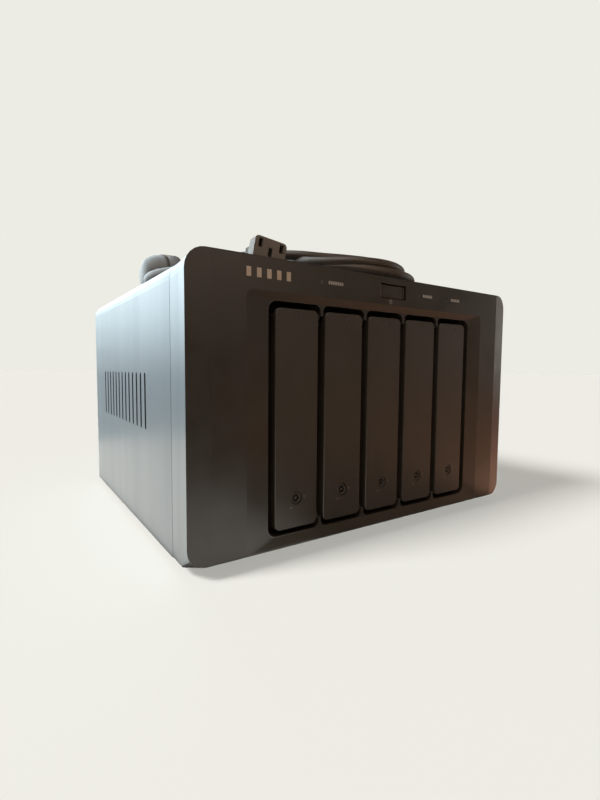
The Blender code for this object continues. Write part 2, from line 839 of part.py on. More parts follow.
def build_power_supply():
    case = box("psu_case", (PSU_LEFT, PSU_FRONT, PSU_LOW), (PSU_RIGHT, PSU_REAR - GAP, PSU_HIGH), "steel")
    room = box(
        "psu_room",
        (PSU_LEFT + SHEET, PSU_FRONT + SHEET, PSU_LOW + SHEET),
        (PSU_RIGHT - SHEET, PSU_REAR - PSU_NOSE, PSU_HIGH - SHEET),
    )
    nose = (PSU_X, PSU_REAR - PSU_NOSE / 2, PSU_FAN_Z)
    bore = rod("psu_bore", nose, PSU_FAN_BORE, PSU_NOSE + 6 * MM, sides=24)
    seat = box(
        "psu_inlet_seat",
        (PSU_X - 14 * MM, PSU_REAR - PSU_NOSE - 3 * MM, INLET_Z - 10.5 * MM),
        (PSU_X + 14 * MM, PSU_REAR + MM, INLET_Z + 10.5 * MM),
    )
    cut(case, room, bore, seat)
    spider = [
        box(
            "psu_strut",
            (PSU_LEFT + 0.5 * MM, PSU_REAR - 2.2 * MM, PSU_FAN_Z - MM),
            (PSU_RIGHT - 0.5 * MM, PSU_REAR - 0.8 * MM, PSU_FAN_Z + MM),
        ),
        rod("psu_motor", (PSU_X, PSU_REAR - 1.6 * MM, PSU_FAN_Z), 7 * MM, 1.9 * MM, sides=16),
    ]
    join(case, *spider)
    start, end = PSU_REAR - 11 * MM, PSU_REAR - 3.4 * MM
    build_rotor("psu_fan_rotor", PSU_X, PSU_FAN_Z, start, end, 6.5 * MM, 16.2 * MM, 5)

    inlet = box(
        "ac_inlet",
        (PSU_X - 13.6 * MM, 212 * MM, INLET_Z - 10.1 * MM),
        (PSU_X + 13.6 * MM, 232.4 * MM, INLET_Z + 10.1 * MM),
        "socket",
    )
    half_x, half_z = 16.5 * MM, 13 * MM
    rim = rounded_outline(PSU_X - half_x, PSU_X + half_x, INLET_Z - half_z, INLET_Z + half_z, [3 * MM] * 4, 3)
    flange = flat_solid("inlet_flange", [rim], REAR_FACE + GAP, CASE_DEPTH)
    cavity = flat_solid("inlet_cavity", [inlet_outline(12.3 * MM, 8.2 * MM, 4.5 * MM)], 215 * MM, 234 * MM)
    join(inlet, flange)
    cut(inlet, cavity)
    for name, x, z in (("line", -7, -2), ("neutral", 7, -2), ("earth", 0, 2)):
        blade = box(
            f"inlet_{name}",
            (PSU_X + (x - 1) * MM, 214 * MM, INLET_Z + (z - 2) * MM),
            (PSU_X + (x + 1) * MM, 230 * MM, INLET_Z + (z + 2) * MM),
        )
        join(inlet, blade)


def inlet_outline(half_x, half_z, bevel):
    """The six-sided shape of an appliance inlet, with its two upper corners cut off."""
    return [
        (PSU_X - half_x, INLET_Z - half_z),
        (PSU_X + half_x, INLET_Z - half_z),
        (PSU_X + half_x, INLET_Z + half_z - bevel),
        (PSU_X + half_x - bevel, INLET_Z + half_z),
        (PSU_X - half_x + bevel, INLET_Z + half_z),
        (PSU_X - half_x, INLET_Z + half_z - bevel),
    ]


# Fans


def build_rotor(name, x, z, start, end, hub_radius, tip_radius, blades):
    """A hub with pitched flat blades, turning about a line along Y."""
    middle = (start + end) / 2
    rotor = rod(name, (x, middle, z), hub_radius, end - start, material="fan", sides=20)
    span = tip_radius - hub_radius * 0.8
    for i in range(blades):
        angle = 2 * math.pi * i / blades
        blade = box(
            f"{name}_blade_{i}",
            (-span / 2, middle - 0.7 * MM, -(end - start) * 0.62),
            (span / 2, middle + 0.7 * MM, (end - start) * 0.62),
        )
        reach = hub_radius * 0.8 + span / 2
        pitched = Matrix.Rotation(math.radians(-42), 4, "X")
        spun = Matrix.Rotation(-angle, 4, "Y")
        blade.data.transform(spun @ Matrix.Translation((reach, 0, 0)) @ pitched)
        blade.location = (x, depth(middle), z)
        join(rotor, blade)
    return rotor


def build_fan(side, x):
    rear = REAR_FACE - SHEET - GAP
    front = rear - FAN_DEPTH
    half = FAN_SIDE / 2
    outer = rounded_outline(x - half, x + half, FAN_Z - half, FAN_Z + half, [4 * MM] * 4, 2)
    corners = ((-1, -1), (-1, 1), (1, -1), (1, 1))
    screws = [circle(x + right * FAN_HOLES, FAN_Z + up * FAN_HOLES, 2.2 * MM, 8) for right, up in corners]
    bore = circle(x, FAN_Z, FAN_BORE, 32)
    frame = flat_solid(f"fan_frame_{side}", [outer, bore, *screws], front, rear, "fan")
    reach, arm = half - MM, 1.5 * MM
    arms = [
        rod(f"fan_motor_{side}", (x, rear - 1.8 * MM, FAN_Z), 15 * MM, 3.0 * MM, sides=20),
        box(
            f"fan_arm_across_{side}",
            (x - reach, rear - 3.0 * MM, FAN_Z - arm),
            (x + reach, rear - 0.9 * MM, FAN_Z + arm),
        ),
        box(
            f"fan_arm_up_{side}",
            (x - arm, rear - 3.1 * MM, FAN_Z - reach),
            (x + arm, rear - 1.0 * MM, FAN_Z + reach),
        ),
    ]
    join(frame, *arms)
    build_rotor(f"fan_rotor_{side}", x, FAN_Z, front + 2 * MM, rear - 4 * MM, 14 * MM, 36 * MM, 7)
    build_guard(side, x)


def build_guard(side, x):
    """A finger guard: flat rings on four spokes, proud of the rear panel."""
    rings = [12 * MM, 25 * MM, 37.5 * MM]
    width = 0.9 * MM
    start, end = REAR_FACE + GAP, CASE_DEPTH
    guard = flat_solid(
        f"fan_guard_{side}",
        [circle(x, FAN_Z, rings[-1] + width, 24), circle(x, FAN_Z, rings[-1] - width, 24)],
        start,
        end,
        "guard",
    )
    for i, radius in enumerate(rings[:-1]):
        sides = 12 if i == 0 else 20
        ring = flat_solid(
            f"guard_ring_{side}_{i}",
            [circle(x, FAN_Z, radius + width, sides), circle(x, FAN_Z, radius - width, sides)],
            start,
            end,
        )
        join(guard, ring)
    reach = rings[-1] + 8 * MM
    for turn in (45, 135):
        spoke = box(
            f"guard_spoke_{side}_{turn}",
            (-reach, start + 0.1 * MM, -1.1 * MM),
            (reach, end - 0.1 * MM, 1.1 * MM),
        )
        spoke.data.transform(Matrix.Rotation(math.radians(turn), 4, "Y"))
        spoke.location = (x, spoke.location.y, FAN_Z)
        join(guard, spoke)


# Mains lead


def cord_tube(name, points):
    """A free stretch of the cord, through the given points."""
    curve = bpy.data.curves.new(name, "CURVE")
    curve.dimensions = "3D"
    curve.bevel_depth = CORD_RADIUS
    curve.bevel_resolution = 2
    curve.use_fill_caps = True
    route = smooth_route(points, 2 * CORD_DIAMETER)
    spline = curve.splines.new("POLY")
    spline.points.add(len(route) - 1)
    for point, spot in zip(spline.points, route, strict=True):
        point.co = (*spot, 1)
    spline.use_smooth = True
    return add_object(name, curve, "cord")


def turned_ring(name, centre, radius, half_width, half_height, sides=12, steps=36):
    """A ring of oval section about a vertical line, turned from its profile."""
    bm = bmesh.new()
    profile = []
    for i in range(sides):
        angle = -2 * math.pi * (i + 0.5) / sides
        reach = radius + half_width * math.cos(angle)
        profile.append(bm.verts.new((reach, 0, half_height * math.sin(angle))))
    for first, second in zip(profile, profile[1:] + profile[:1]):
        bm.edges.new((first, second))
    mesh = bpy.data.meshes.new(name)
    bm.to_mesh(mesh)
    bm.free()
    ring = add_object(name, mesh, "cord")
    ring.location = centre
    turn = ring.modifiers.new("turn", "SCREW")
    turn.axis = "Z"
    turn.angle = 2 * math.pi
    turn.steps = steps
    turn.render_steps = steps
    turn.use_smooth_shade = True
    turn.use_merge_vertices = True
    turn.merge_threshold = 0.00001
    return ring


def smooth_route(points, spacing):
    """Points about spacing apart on a Catmull-Rom curve through the given ones."""
    points = [Vector(p) for p in points]
    padded = [2 * points[0] - points[1], *points, 2 * points[-1] - points[-2]]
    route = [points[0]]
    for a, b, c, d in zip(padded, padded[1:], padded[2:], padded[3:]):
        steps = max(1, round((c - b).length / spacing))
        for i in range(1, steps + 1):
            t = i / steps
            bend = 2 * a - 5 * b + 4 * c - d
            twist = 3 * b - a - 3 * c + d
            route.append(0.5 * (2 * b + (c - a) * t + bend * t**2 + twist * t**3))
    return route


def stand(obj, at, turn, roll):
    """Turns an object drawn with its front at the world origin, facing -Y, and sets it down."""
    obj.rotation_euler = (0, math.radians(roll), math.radians(turn))
    obj.location = at
    return obj


def origin_solid(name, outline, start, end, material=None):
    """A plate like flat_solid's, but with its depth measured from the world origin."""
    made = flat_solid(name, [outline], start, end, material)
    made.data.transform(Matrix.Translation((0, (start + end) / 2, 0)))
    made.location = (0, 0, 0)
    return made


def build_connector():
    """The appliance end: a flat nose with three slots, a waisted grip and a tapered tail."""
    half_x, half_z = CONNECTOR_HALF
    outline = rounded_outline(-half_x, half_x, -half_z, half_z, [2.4 * MM] * 4, 3)
    body = origin_solid("cord_connector", outline, 0, CONNECTOR_NOSE, "cord")
    grip_sections = [
        (start, rounded_outline(-wide, wide, -high, high, [3 * MM] * 4, 2))
        for start, wide, high in (
            (CONNECTOR_NOSE - 0.5 * MM, half_x - 1.6 * MM, half_z - 1.0 * MM),
            (CONNECTOR_NOSE + 6 * MM, half_x - 2.2 * MM, half_z - 1.2 * MM),
            (CONNECTOR_BODY - 3 * MM, half_x - 3.2 * MM, half_z - 1.3 * MM),
            (CONNECTOR_BODY, half_x - 4.7 * MM, half_z - 1.9 * MM),
        )
    ]
    grip = loft("connector_grip", grip_sections)
    grip.data.transform(Matrix.Translation((0, -FRONT_Y, 0)))
    tail = bpy.data.meshes.new("connector_tail")
    bm = bmesh.new()
    bmesh.ops.create_cone(
        bm, cap_ends=True, segments=12, radius1=5.4 * MM, radius2=4.2 * MM, depth=CONNECTOR_TAIL + MM
    )
    bmesh.ops.transform(bm, matrix=AXIS_TURN["Y"], verts=bm.verts)
    bmesh.ops.translate(bm, vec=(0, CONNECTOR_BODY + CONNECTOR_TAIL / 2 - MM / 2, 0), verts=bm.verts)
    bm.to_mesh(tail)
    bm.free()
    tail = add_object("connector_tail", tail, None)
    slots = [
        origin_solid(f"connector_slot_{x}", rectangle(x * MM, z * MM, 1.3 * MM, 2.6 * MM), -MM, 14 * MM)
        for x, z in ((-6.8, 3), (6.8, 3), (0, -1))
    ]
    slots = merged("connector_slots", slots)
    for piece in (body, grip, tail, slots):
        stand(piece, CONNECTOR_AT, CONNECTOR_TURN, CONNECTOR_ROLL)
    join(body, grip, tail)
    return cut(body, slots)


def build_plug():
    """The mains end: an angled round plug on its side, pins to the right, tail to the front."""
    plug = rod("mains_plug", (0, 0, 0), PLUG_RADIUS, 14 * MM, "X", "cord", 24)
    plug.location = PLUG_AT + Vector((-7 * MM, 0, 0))
    back = rod("plug_back", (0, 0, 0), PLUG_RADIUS - 2.3 * MM, 8 * MM, "X", None, 24, PLUG_RADIUS - 0.6 * MM)
    back.location = PLUG_AT + Vector((-17 * MM, 0, 0))
    end = rod("plug_end", (0, 0, 0), PLUG_RADIUS - 8.2 * MM, 6.4 * MM, "X", None, 24, PLUG_RADIUS - 2.7 * MM)
    end.location = PLUG_AT + Vector((-24 * MM, 0, 0))
    tail = rod("plug_tail", (0, 0, 0), 6.5 * MM, PLUG_TAIL, "Y", None, 12, 4.4 * MM)
    tail.data.transform(Matrix.Rotation(math.pi, 4, "Z") @ Matrix.Translation((0, PLUG_TAIL / 2, 0)))
    tail.location = PLUG_AT + Vector((-18 * MM, 0, 0))
    tail.rotation_euler = (math.radians(PLUG_TILT), 0, 0)
    pins = []
    for hand in (-1, 1):
        pin = rod(f"plug_pin_{hand}", (0, 0, 0), 2.4 * MM, 22 * MM, "X", None, 10)
        pin.location = PLUG_AT + Vector((8 * MM, hand * 9.5 * MM, 0))
        pins.append(pin)
    return join(plug, back, end, tail, *pins)


def build_cord():
    build_connector()
    build_plug()
    middle = (*COIL_CENTRE, LID + COIL_HALF_HEIGHT + 0.3 * MM)
    turned_ring("cord_coil", middle, COIL_RADIUS, COIL_HALF_WIDTH, COIL_HALF_HEIGHT)

    turn = math.radians(CONNECTOR_TURN)
    heading = Vector((-math.sin(turn), math.cos(turn), 0))
    start = CONNECTOR_AT + heading * (CONNECTOR_BODY + CONNECTOR_TAIL + 1.2 * MM)
    inward = [start, start + heading * 5 * MM]
    inward += [Vector(p) * MM for p in TO_CONNECTOR]
    cord_tube("cord_to_connector", inward)

    tilt = math.radians(PLUG_TILT)
    away = Vector((0, -math.cos(tilt), -math.sin(tilt)))
    end = PLUG_AT + Vector((-18 * MM, 0, 0)) + away * (PLUG_TAIL + 1.2 * MM)
    outward = [end, end + away * 6 * MM]
    outward += [Vector(p) * MM for p in TO_PLUG]
    cord_tube("cord_to_plug", outward)


def build_all():
    build_bezel()
    build_controls()
    build_cover()
    build_base()
    build_rear_panel()
    build_feet()
    build_trays()
    build_cage()
    build_electronics()
    build_power_supply()
    for side, x in (("left", -FAN_X), ("right", FAN_X)):
        build_fan(side, x)
    build_cord()


build_all()
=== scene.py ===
"""The looks of a five-bay desktop storage enclosure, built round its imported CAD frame.

Lengths are in metres, in the frame's own axes: +X right seen from the front, -Y towards the viewer, +Z up.
"""

import json
import math

import bmesh
import bpy
from mathutils import Matrix, Vector


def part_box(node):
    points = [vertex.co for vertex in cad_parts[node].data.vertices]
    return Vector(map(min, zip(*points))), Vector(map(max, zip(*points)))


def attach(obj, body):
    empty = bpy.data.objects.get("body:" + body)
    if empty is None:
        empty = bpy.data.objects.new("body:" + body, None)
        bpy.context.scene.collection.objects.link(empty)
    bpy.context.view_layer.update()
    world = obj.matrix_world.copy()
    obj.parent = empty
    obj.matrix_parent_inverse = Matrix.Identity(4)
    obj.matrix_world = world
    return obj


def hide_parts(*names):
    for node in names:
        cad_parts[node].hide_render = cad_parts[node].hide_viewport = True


MM = 0.001

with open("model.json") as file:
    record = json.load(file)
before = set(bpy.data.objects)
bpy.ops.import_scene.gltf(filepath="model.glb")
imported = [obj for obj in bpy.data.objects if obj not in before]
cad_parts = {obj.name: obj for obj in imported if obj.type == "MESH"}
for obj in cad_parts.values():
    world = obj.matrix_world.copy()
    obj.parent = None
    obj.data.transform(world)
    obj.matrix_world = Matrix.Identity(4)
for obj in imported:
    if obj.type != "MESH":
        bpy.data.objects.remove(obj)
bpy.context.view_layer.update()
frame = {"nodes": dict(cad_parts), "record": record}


def middle(node):
    low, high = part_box(node)
    return (low + high) / 2


# The planes of the front, the rear and the lid, read from the frame.
FRONT_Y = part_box("front_bezel")[0].y
REAR_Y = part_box("rear_panel")[1].y
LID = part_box("top_cover")[1].z

BAYS = range(1, 6)
SIDES = ("left", "right")
CORD_RADIUS = 3.2 * MM


# Mesh building


def matrix_of(place, turn=(0, 0, 0)):
    """A placement: a point and turns about X, Y and Z in degrees."""
    about_x, about_y, about_z = (
        Matrix.Rotation(math.radians(angle), 4, axis) for angle, axis in zip(turn, "XYZ", strict=True)
    )
    return Matrix.Translation(Vector(place)) @ about_z @ about_y @ about_x


def skin_rings(bm, rings):
    """Faces between neighbouring rings of vertices, with both ends closed."""
    for first, second in zip(rings, rings[1:]):
        for i in range(len(first)):
            j = (i + 1) % len(first)
            bm.faces.new((first[i], first[j], second[j], second[i]))
    bm.faces.new(list(reversed(rings[0])))
    bm.faces.new(rings[-1])


def add_box(bm, centre, size, turn=(0, 0, 0), round_edges=0.0):
    """A block about its centre. round_edges is the width of its rounded edges."""
    made = bmesh.ops.create_cube(bm, size=1)["verts"]
    bmesh.ops.scale(bm, vec=Vector(size), verts=made)
    if round_edges:
        edges = list({e for v in made for e in v.link_edges})
        made = bmesh.ops.bevel(
            bm, geom=edges, offset=round_edges, segments=2, affect="EDGES", profile=0.5
        )["verts"]
    bmesh.ops.transform(bm, matrix=matrix_of(centre, turn), verts=made)


AXIS_TURN = {"X": (0, 90, 0), "Y": (-90, 0, 0), "Z": (0, 0, 0)}


def add_rod(bm, centre, radius, length, axis="Y", sides=24, end_radius=None):
    """A cylinder or cone. end_radius is at the axis's positive end."""
    far = radius if end_radius is None else end_radius
    made = bmesh.ops.create_cone(
        bm, cap_ends=True, segments=sides, radius1=radius, radius2=far, depth=length
    )["verts"]
    bmesh.ops.transform(bm, matrix=matrix_of(centre, AXIS_TURN[axis]), verts=made)


def add_lathe(bm, centre, profile, axis="Y", sides=32):
    """A turned solid. profile runs from one end to the other as (distance along the axis, radius)."""
    rings = []
    place = matrix_of(centre, AXIS_TURN[axis])
    for along, radius in profile:
        ring = []
        for i in range(sides):
            angle = 2 * math.pi * i / sides
            point = Vector((radius * math.cos(angle), radius * math.sin(angle), along))
            ring.append(bm.verts.new(place @ point))
        rings.append(ring)
    skin_rings(bm, rings)


def add_ring(bm, centre, radius, thickness, axis="Y", sides=40, tube_sides=8):
    """A round wire bent into a circle."""
    place = matrix_of(centre, AXIS_TURN[axis])
    rings = []
    for i in range(sides):
        angle = 2 * math.pi * i / sides
        ring = []
        for j in range(tube_sides):
            around = 2 * math.pi * j / tube_sides
            reach = radius + thickness * math.cos(around)
            point = Vector((reach * math.cos(angle), reach * math.sin(angle), thickness * math.sin(around)))
            ring.append(bm.verts.new(place @ point))
        rings.append(ring)
    for i in range(sides):
        first, second = rings[i], rings[(i + 1) % sides]
        for j in range(tube_sides):
            k = (j + 1) % tube_sides
            bm.faces.new((first[j], second[j], second[k], first[k]))


def arc(radius, start, end, steps):
    """Points (x, z) on part of a circle, angles in degrees."""
    points = []
    for i in range(steps + 1):
        angle = math.radians(start + (end - start) * i / steps)
        points.append((radius * math.cos(angle), radius * math.sin(angle)))
    return points


def holed_plate(bm, outlines, start, end, place):
    """A plate in the XZ plane of a placement, from start to end along its Y.

    Outlines after the first are holes.
    """
    curve = bpy.data.curves.new("outline", "CURVE")
    curve.dimensions = "2D"
    curve.fill_mode = "BOTH"
    curve.extrude = (end - start) / 2
    for outline in outlines:
        spline = curve.splines.new("POLY")
        spline.points.add(len(outline) - 1)
        for point, (x, z) in zip(spline.points, outline, strict=True):
            point.co = (x, z, 0, 1)
        spline.use_cyclic_u = True
    drawn = bpy.data.objects.new("outline", curve)
    bpy.context.scene.collection.objects.link(drawn)
    bpy.context.view_layer.update()
    mesh = bpy.data.meshes.new_from_object(drawn.evaluated_get(bpy.context.evaluated_depsgraph_get()))
    bpy.data.objects.remove(drawn)
    mesh.transform(place @ matrix_of((0, (start + end) / 2, 0), (90, 0, 0)))
    bm.from_mesh(mesh)
    bmesh.ops.remove_doubles(bm, verts=bm.verts, dist=0.00001)


def rounded(half_x, half_z, radius, steps=4):
    """Points (x, z) round a rectangle with round corners."""
    points = []
    for turn, (x, z) in enumerate(((1, 1), (-1, 1), (-1, -1), (1, -1))):
        for px, pz in arc(radius, 90 * turn, 90 * turn + 90, steps):
            points.append((x * (half_x - radius) + px, z * (half_z - radius) + pz))
    return points


def add_loft(bm, sections, place):
    """A closed skin through outlines of one length, each given as (distance along Y, points)."""
    rings = [
        [bm.verts.new(place @ Vector((x, along, z))) for x, z in outline] for along, outline in sections
    ]
    skin_rings(bm, rings)


def make_piece(name, bm, material, body, smooth=35):
    """A visible piece that rides on a body. Edges sharper than smooth, in degrees, stay crisp."""
    bmesh.ops.recalc_face_normals(bm, faces=bm.faces)
    mesh = bpy.data.meshes.new(name)
    bm.to_mesh(mesh)
    bm.free()
    mesh.materials.append(MATERIALS[material])
    mesh.shade_smooth()
    mesh.set_sharp_from_angle(angle=math.radians(smooth))
    made = bpy.data.objects.new(name, mesh)
    bpy.context.scene.collection.objects.link(made)
    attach(made, body)
    return made


# Materials


def shader_of(material):
    return material.node_tree.nodes["Principled BSDF"]


def new_material(name, colour, roughness, metallic=0.0, coat=0.0, specular=0.5):
    material = bpy.data.materials.new(name)
    material.use_nodes = True
    shader = shader_of(material)
    shader.inputs["Base Color"].default_value = (*colour, 1)
    shader.inputs["Roughness"].default_value = roughness
    shader.inputs["Metallic"].default_value = metallic
    shader.inputs["Coat Weight"].default_value = coat
    shader.inputs["Coat Roughness"].default_value = 0.15
    shader.inputs["Specular IOR Level"].default_value = specular
    return material


def link(material, source, target):
    material.node_tree.links.new(source, target)


def add_noise(material, scale, detail=3.0, stretch=(1, 1, 1)):
    """A noise texture in the object's own metres, so it keeps its real size."""
    nodes = material.node_tree.nodes
    where = nodes.new("ShaderNodeTexCoord")
    mapping = nodes.new("ShaderNodeMapping")
    mapping.inputs["Scale"].default_value = stretch
    noise = nodes.new("ShaderNodeTexNoise")
    noise.inputs["Scale"].default_value = scale
    noise.inputs["Detail"].default_value = detail
    link(material, where.outputs["Object"], mapping.inputs["Vector"])
    link(material, mapping.outputs["Vector"], noise.inputs["Vector"])
    return noise.outputs["Fac"]


def add_range(material, value, low, high, start=0.3, end=0.7):
    """Spreads a texture's value between two numbers."""
    spread = material.node_tree.nodes.new("ShaderNodeMapRange")
    spread.inputs["From Min"].default_value = start
    spread.inputs["From Max"].default_value = end
    spread.inputs["To Min"].default_value = low
    spread.inputs["To Max"].default_value = high
    link(material, value, spread.inputs["Value"])
    return spread.outputs["Result"]


def mix_colours(material, value, first, second):
    mix = material.node_tree.nodes.new("ShaderNodeMix")
    mix.data_type = "RGBA"
    mix.inputs["A"].default_value = (*first, 1)
    mix.inputs["B"].default_value = (*second, 1)
    link(material, value, mix.inputs["Factor"])
    return mix.outputs["Result"]


def add_grain(material, size, height):
    """A fine raised grain: size between grains and height, both in metres."""
    bump = material.node_tree.nodes.new("ShaderNodeBump")
    bump.inputs["Distance"].default_value = height
    bump.inputs["Strength"].default_value = 0.6
    link(material, add_noise(material, 1 / size, 2), bump.inputs["Height"])
    link(material, bump.outputs["Normal"], shader_of(material).inputs["Normal"])


def vary(material, colours, roughness, scale, stretch=(1, 1, 1)):
    """Drifts the colour and the gloss over the surface, as handling and dust leave them."""
    shader = shader_of(material)
    drift = add_range(material, add_noise(material, scale, 4, stretch), 0, 1)
    link(material, mix_colours(material, drift, *colours), shader.inputs["Base Color"])
    gloss = add_range(material, add_noise(material, scale * 2.3, 5, stretch), *roughness)
    link(material, gloss, shader.inputs["Roughness"])


def brushed(name, colour, roughness, metallic):
    """Metal or metallic print with faint uneven gloss."""
    material = new_material(name, colour, roughness, metallic)
    darker = tuple(c * 0.88 for c in colour)
    vary(material, (darker, colour), (roughness - 0.05, roughness + 0.08), 90)
    return material


def moulded(name, colour, roughness, grain=0.35 * MM, height=0.02 * MM, spread=0.12):
    """Moulded plastic with a fine grain and faint uneven gloss."""
    material = new_material(name, colour, roughness)
    lighter = tuple(c * (1 + spread) for c in colour)
    vary(material, (colour, lighter), (roughness - 0.05, roughness + 0.07), 30)
    add_grain(material, grain, height)
    return material


def cover_paint():
    """Dark metallic paint on the sheet cover, with faint upright streaks."""
    colour = (0.15, 0.165, 0.175)
    material = new_material("cover_paint", colour, 0.33, 0.85)
    vary(material, (colour, (0.175, 0.19, 0.2)), (0.31, 0.35), 14, (2.2, 2.2, 0.16))
    add_grain(material, 0.5 * MM, 0.008 * MM)
    return material


def zinc_steel():
    material = new_material("zinc_steel", (0.45, 0.46, 0.47), 0.38, 1.0)
    vary(material, ((0.38, 0.39, 0.4), (0.5, 0.51, 0.52)), (0.28, 0.48), 60)
    add_grain(material, 1.2 * MM, 0.01 * MM)
    return material


def circuit_board():
    """Green board with a faint pattern of copper under the lacquer."""
    material = new_material("circuit_board", (0.008, 0.07, 0.028), 0.32, 0.0, 0.4)
    nodes = material.node_tree.nodes
    where = nodes.new("ShaderNodeTexCoord")
    tracks = nodes.new("ShaderNodeTexBrick")
    tracks.inputs["Scale"].default_value = 260
    tracks.inputs["Mortar Size"].default_value = 0.06
    tracks.inputs["Color1"].default_value = (0.008, 0.075, 0.03, 1)
    tracks.inputs["Color2"].default_value = (0.006, 0.05, 0.022, 1)
    tracks.inputs["Mortar"].default_value = (0.02, 0.13, 0.05, 1)
    link(material, where.outputs["Object"], tracks.inputs["Vector"])
    link(material, tracks.outputs["Color"], shader_of(material).inputs["Base Color"])
    return material


def cord_rubber(name, colour):
    material = moulded(name, colour, 0.4, 0.6 * MM, 0.01 * MM, 0.2)
    shader_of(material).inputs["Sheen Weight"].default_value = 0.15
    shader_of(material).inputs["Sheen Roughness"].default_value = 0.4
    return material


MATERIALS = {
    "bezel": moulded("bezel_plastic", (0.023, 0.0165, 0.0105), 0.34, 0.4 * MM, 0.012 * MM),
    "cover": cover_paint(),
    "steel": zinc_steel(),
    "tray": moulded("tray_plastic", (0.014, 0.014, 0.014), 0.5),
    "handle": moulded("handle_plastic", (0.026, 0.018, 0.011), 0.42, 0.4 * MM, 0.014 * MM),
    "lock": moulded("lock_metal", (0.03, 0.022, 0.015), 0.35),
    "light": moulded("light_pipe", (0.07, 0.058, 0.045), 0.25, 0.5 * MM, 0.004 * MM),
    "button": moulded("button_plastic", (0.03, 0.022, 0.015), 0.24, 0.6 * MM, 0.004 * MM),
    "board": circuit_board(),
    "fan": moulded("fan_plastic", (0.014, 0.014, 0.015), 0.45),
    "guard": brushed("guard_wire", (0.05, 0.05, 0.052), 0.3, 0.9),
    "rubber": moulded("foot_rubber", (0.018, 0.018, 0.018), 0.8, 0.5 * MM, 0.03 * MM),
    "socket": moulded("socket_plastic", (0.014, 0.014, 0.014), 0.42),
    "cord": cord_rubber("cord_rubber", (0.042, 0.0245, 0.013)),
    "grip": cord_rubber("grip_rubber", (0.1, 0.072, 0.05)),
    "plug": cord_rubber("plug_rubber", (0.1, 0.098, 0.096)),
    "bronze": brushed("bronze_print", (0.42, 0.31, 0.22), 0.45, 0.3),
    "print": moulded("pale_print", (0.24, 0.19, 0.15), 0.5, 0.5 * MM, 0.002 * MM),
    "faint": moulded("faint_print", (0.1, 0.08, 0.06), 0.5, 0.5 * MM, 0.002 * MM),
    "dark": moulded("shadow_black", (0.004, 0.004, 0.004), 0.7),
    "screw": brushed("screw_steel", (0.3, 0.3, 0.31), 0.32, 1.0),
    "black_screw": brushed("black_screw", (0.03, 0.03, 0.032), 0.35, 0.8),
    "pin": brushed("nickel_pin", (0.62, 0.6, 0.56), 0.25, 1.0),
    "brass": brushed("brass_contact", (0.6, 0.42, 0.18), 0.3, 1.0),
    "label": moulded("blank_label", (0.55, 0.55, 0.54), 0.45, 0.8 * MM, 0.004 * MM, 0.05),
    "chip": moulded("chip_resin", (0.012, 0.012, 0.013), 0.35),
    "can": brushed("capacitor_can", (0.5, 0.5, 0.52), 0.3, 1.0),
}


def dress_frame():
    """Gives every CAD node its finish."""
    slots = {entry["node"]: entry["material_slot"] for entry in frame["record"]["subparts"]}
    for node, obj in frame["nodes"].items():
        for place in obj.material_slots:
            place.material = MATERIALS[slots[node]]


def dress_bezel():
    """The rim of the front moulding carries the cover's paint round its sides and top."""
    mesh = frame["nodes"]["front_bezel"].data
    mesh.materials.append(MATERIALS["cover"])
    for face in mesh.polygons:
        outer = abs(face.center.x) > 120 * MM or face.center.z > 153 * MM
        turned_out = max(abs(face.normal.x), face.normal.z) > 0.5
        if outer and turned_out and face.center.y > FRONT_Y + 1.2 * MM:
            face.material_index = 1


# Front details


def front_marks():
    """A generic five-bar mark, plain blocks where words would be, and the power sign."""
    face = FRONT_Y - 0.02 * MM
    band = middle("power_button").z
    bm = bmesh.new()
    for i in range(5):
        add_box(bm, ((-92.4 + 5.7 * i) * MM, face, band), (2.5 * MM, 0.06 * MM, 4.6 * MM))
    make_piece("front_mark", bm, "bronze", "case")
    bm = bmesh.new()
    for left, count in ((-44, 7), (31.7, 6), (59.7, 6)):
        for i in range(count):
            add_box(bm, ((left + 0.6 + 1.5 * i) * MM, face, band), (1.1 * MM, 0.05 * MM, 1.8 * MM))
    make_piece("front_words", bm, "print", "case")
    bm = bmesh.new()
    centre = (middle("power_button").x - 2.2 * MM, face, 142.3 * MM)
    add_ring(bm, centre, 0.95 * MM, 0.14 * MM, "Y", 24, 6)
    add_box(bm, (centre[0], face, centre[2] + 0.9 * MM), (0.28 * MM, 0.3 * MM, 1.3 * MM))
    make_piece("power_sign", bm, "print", "case")


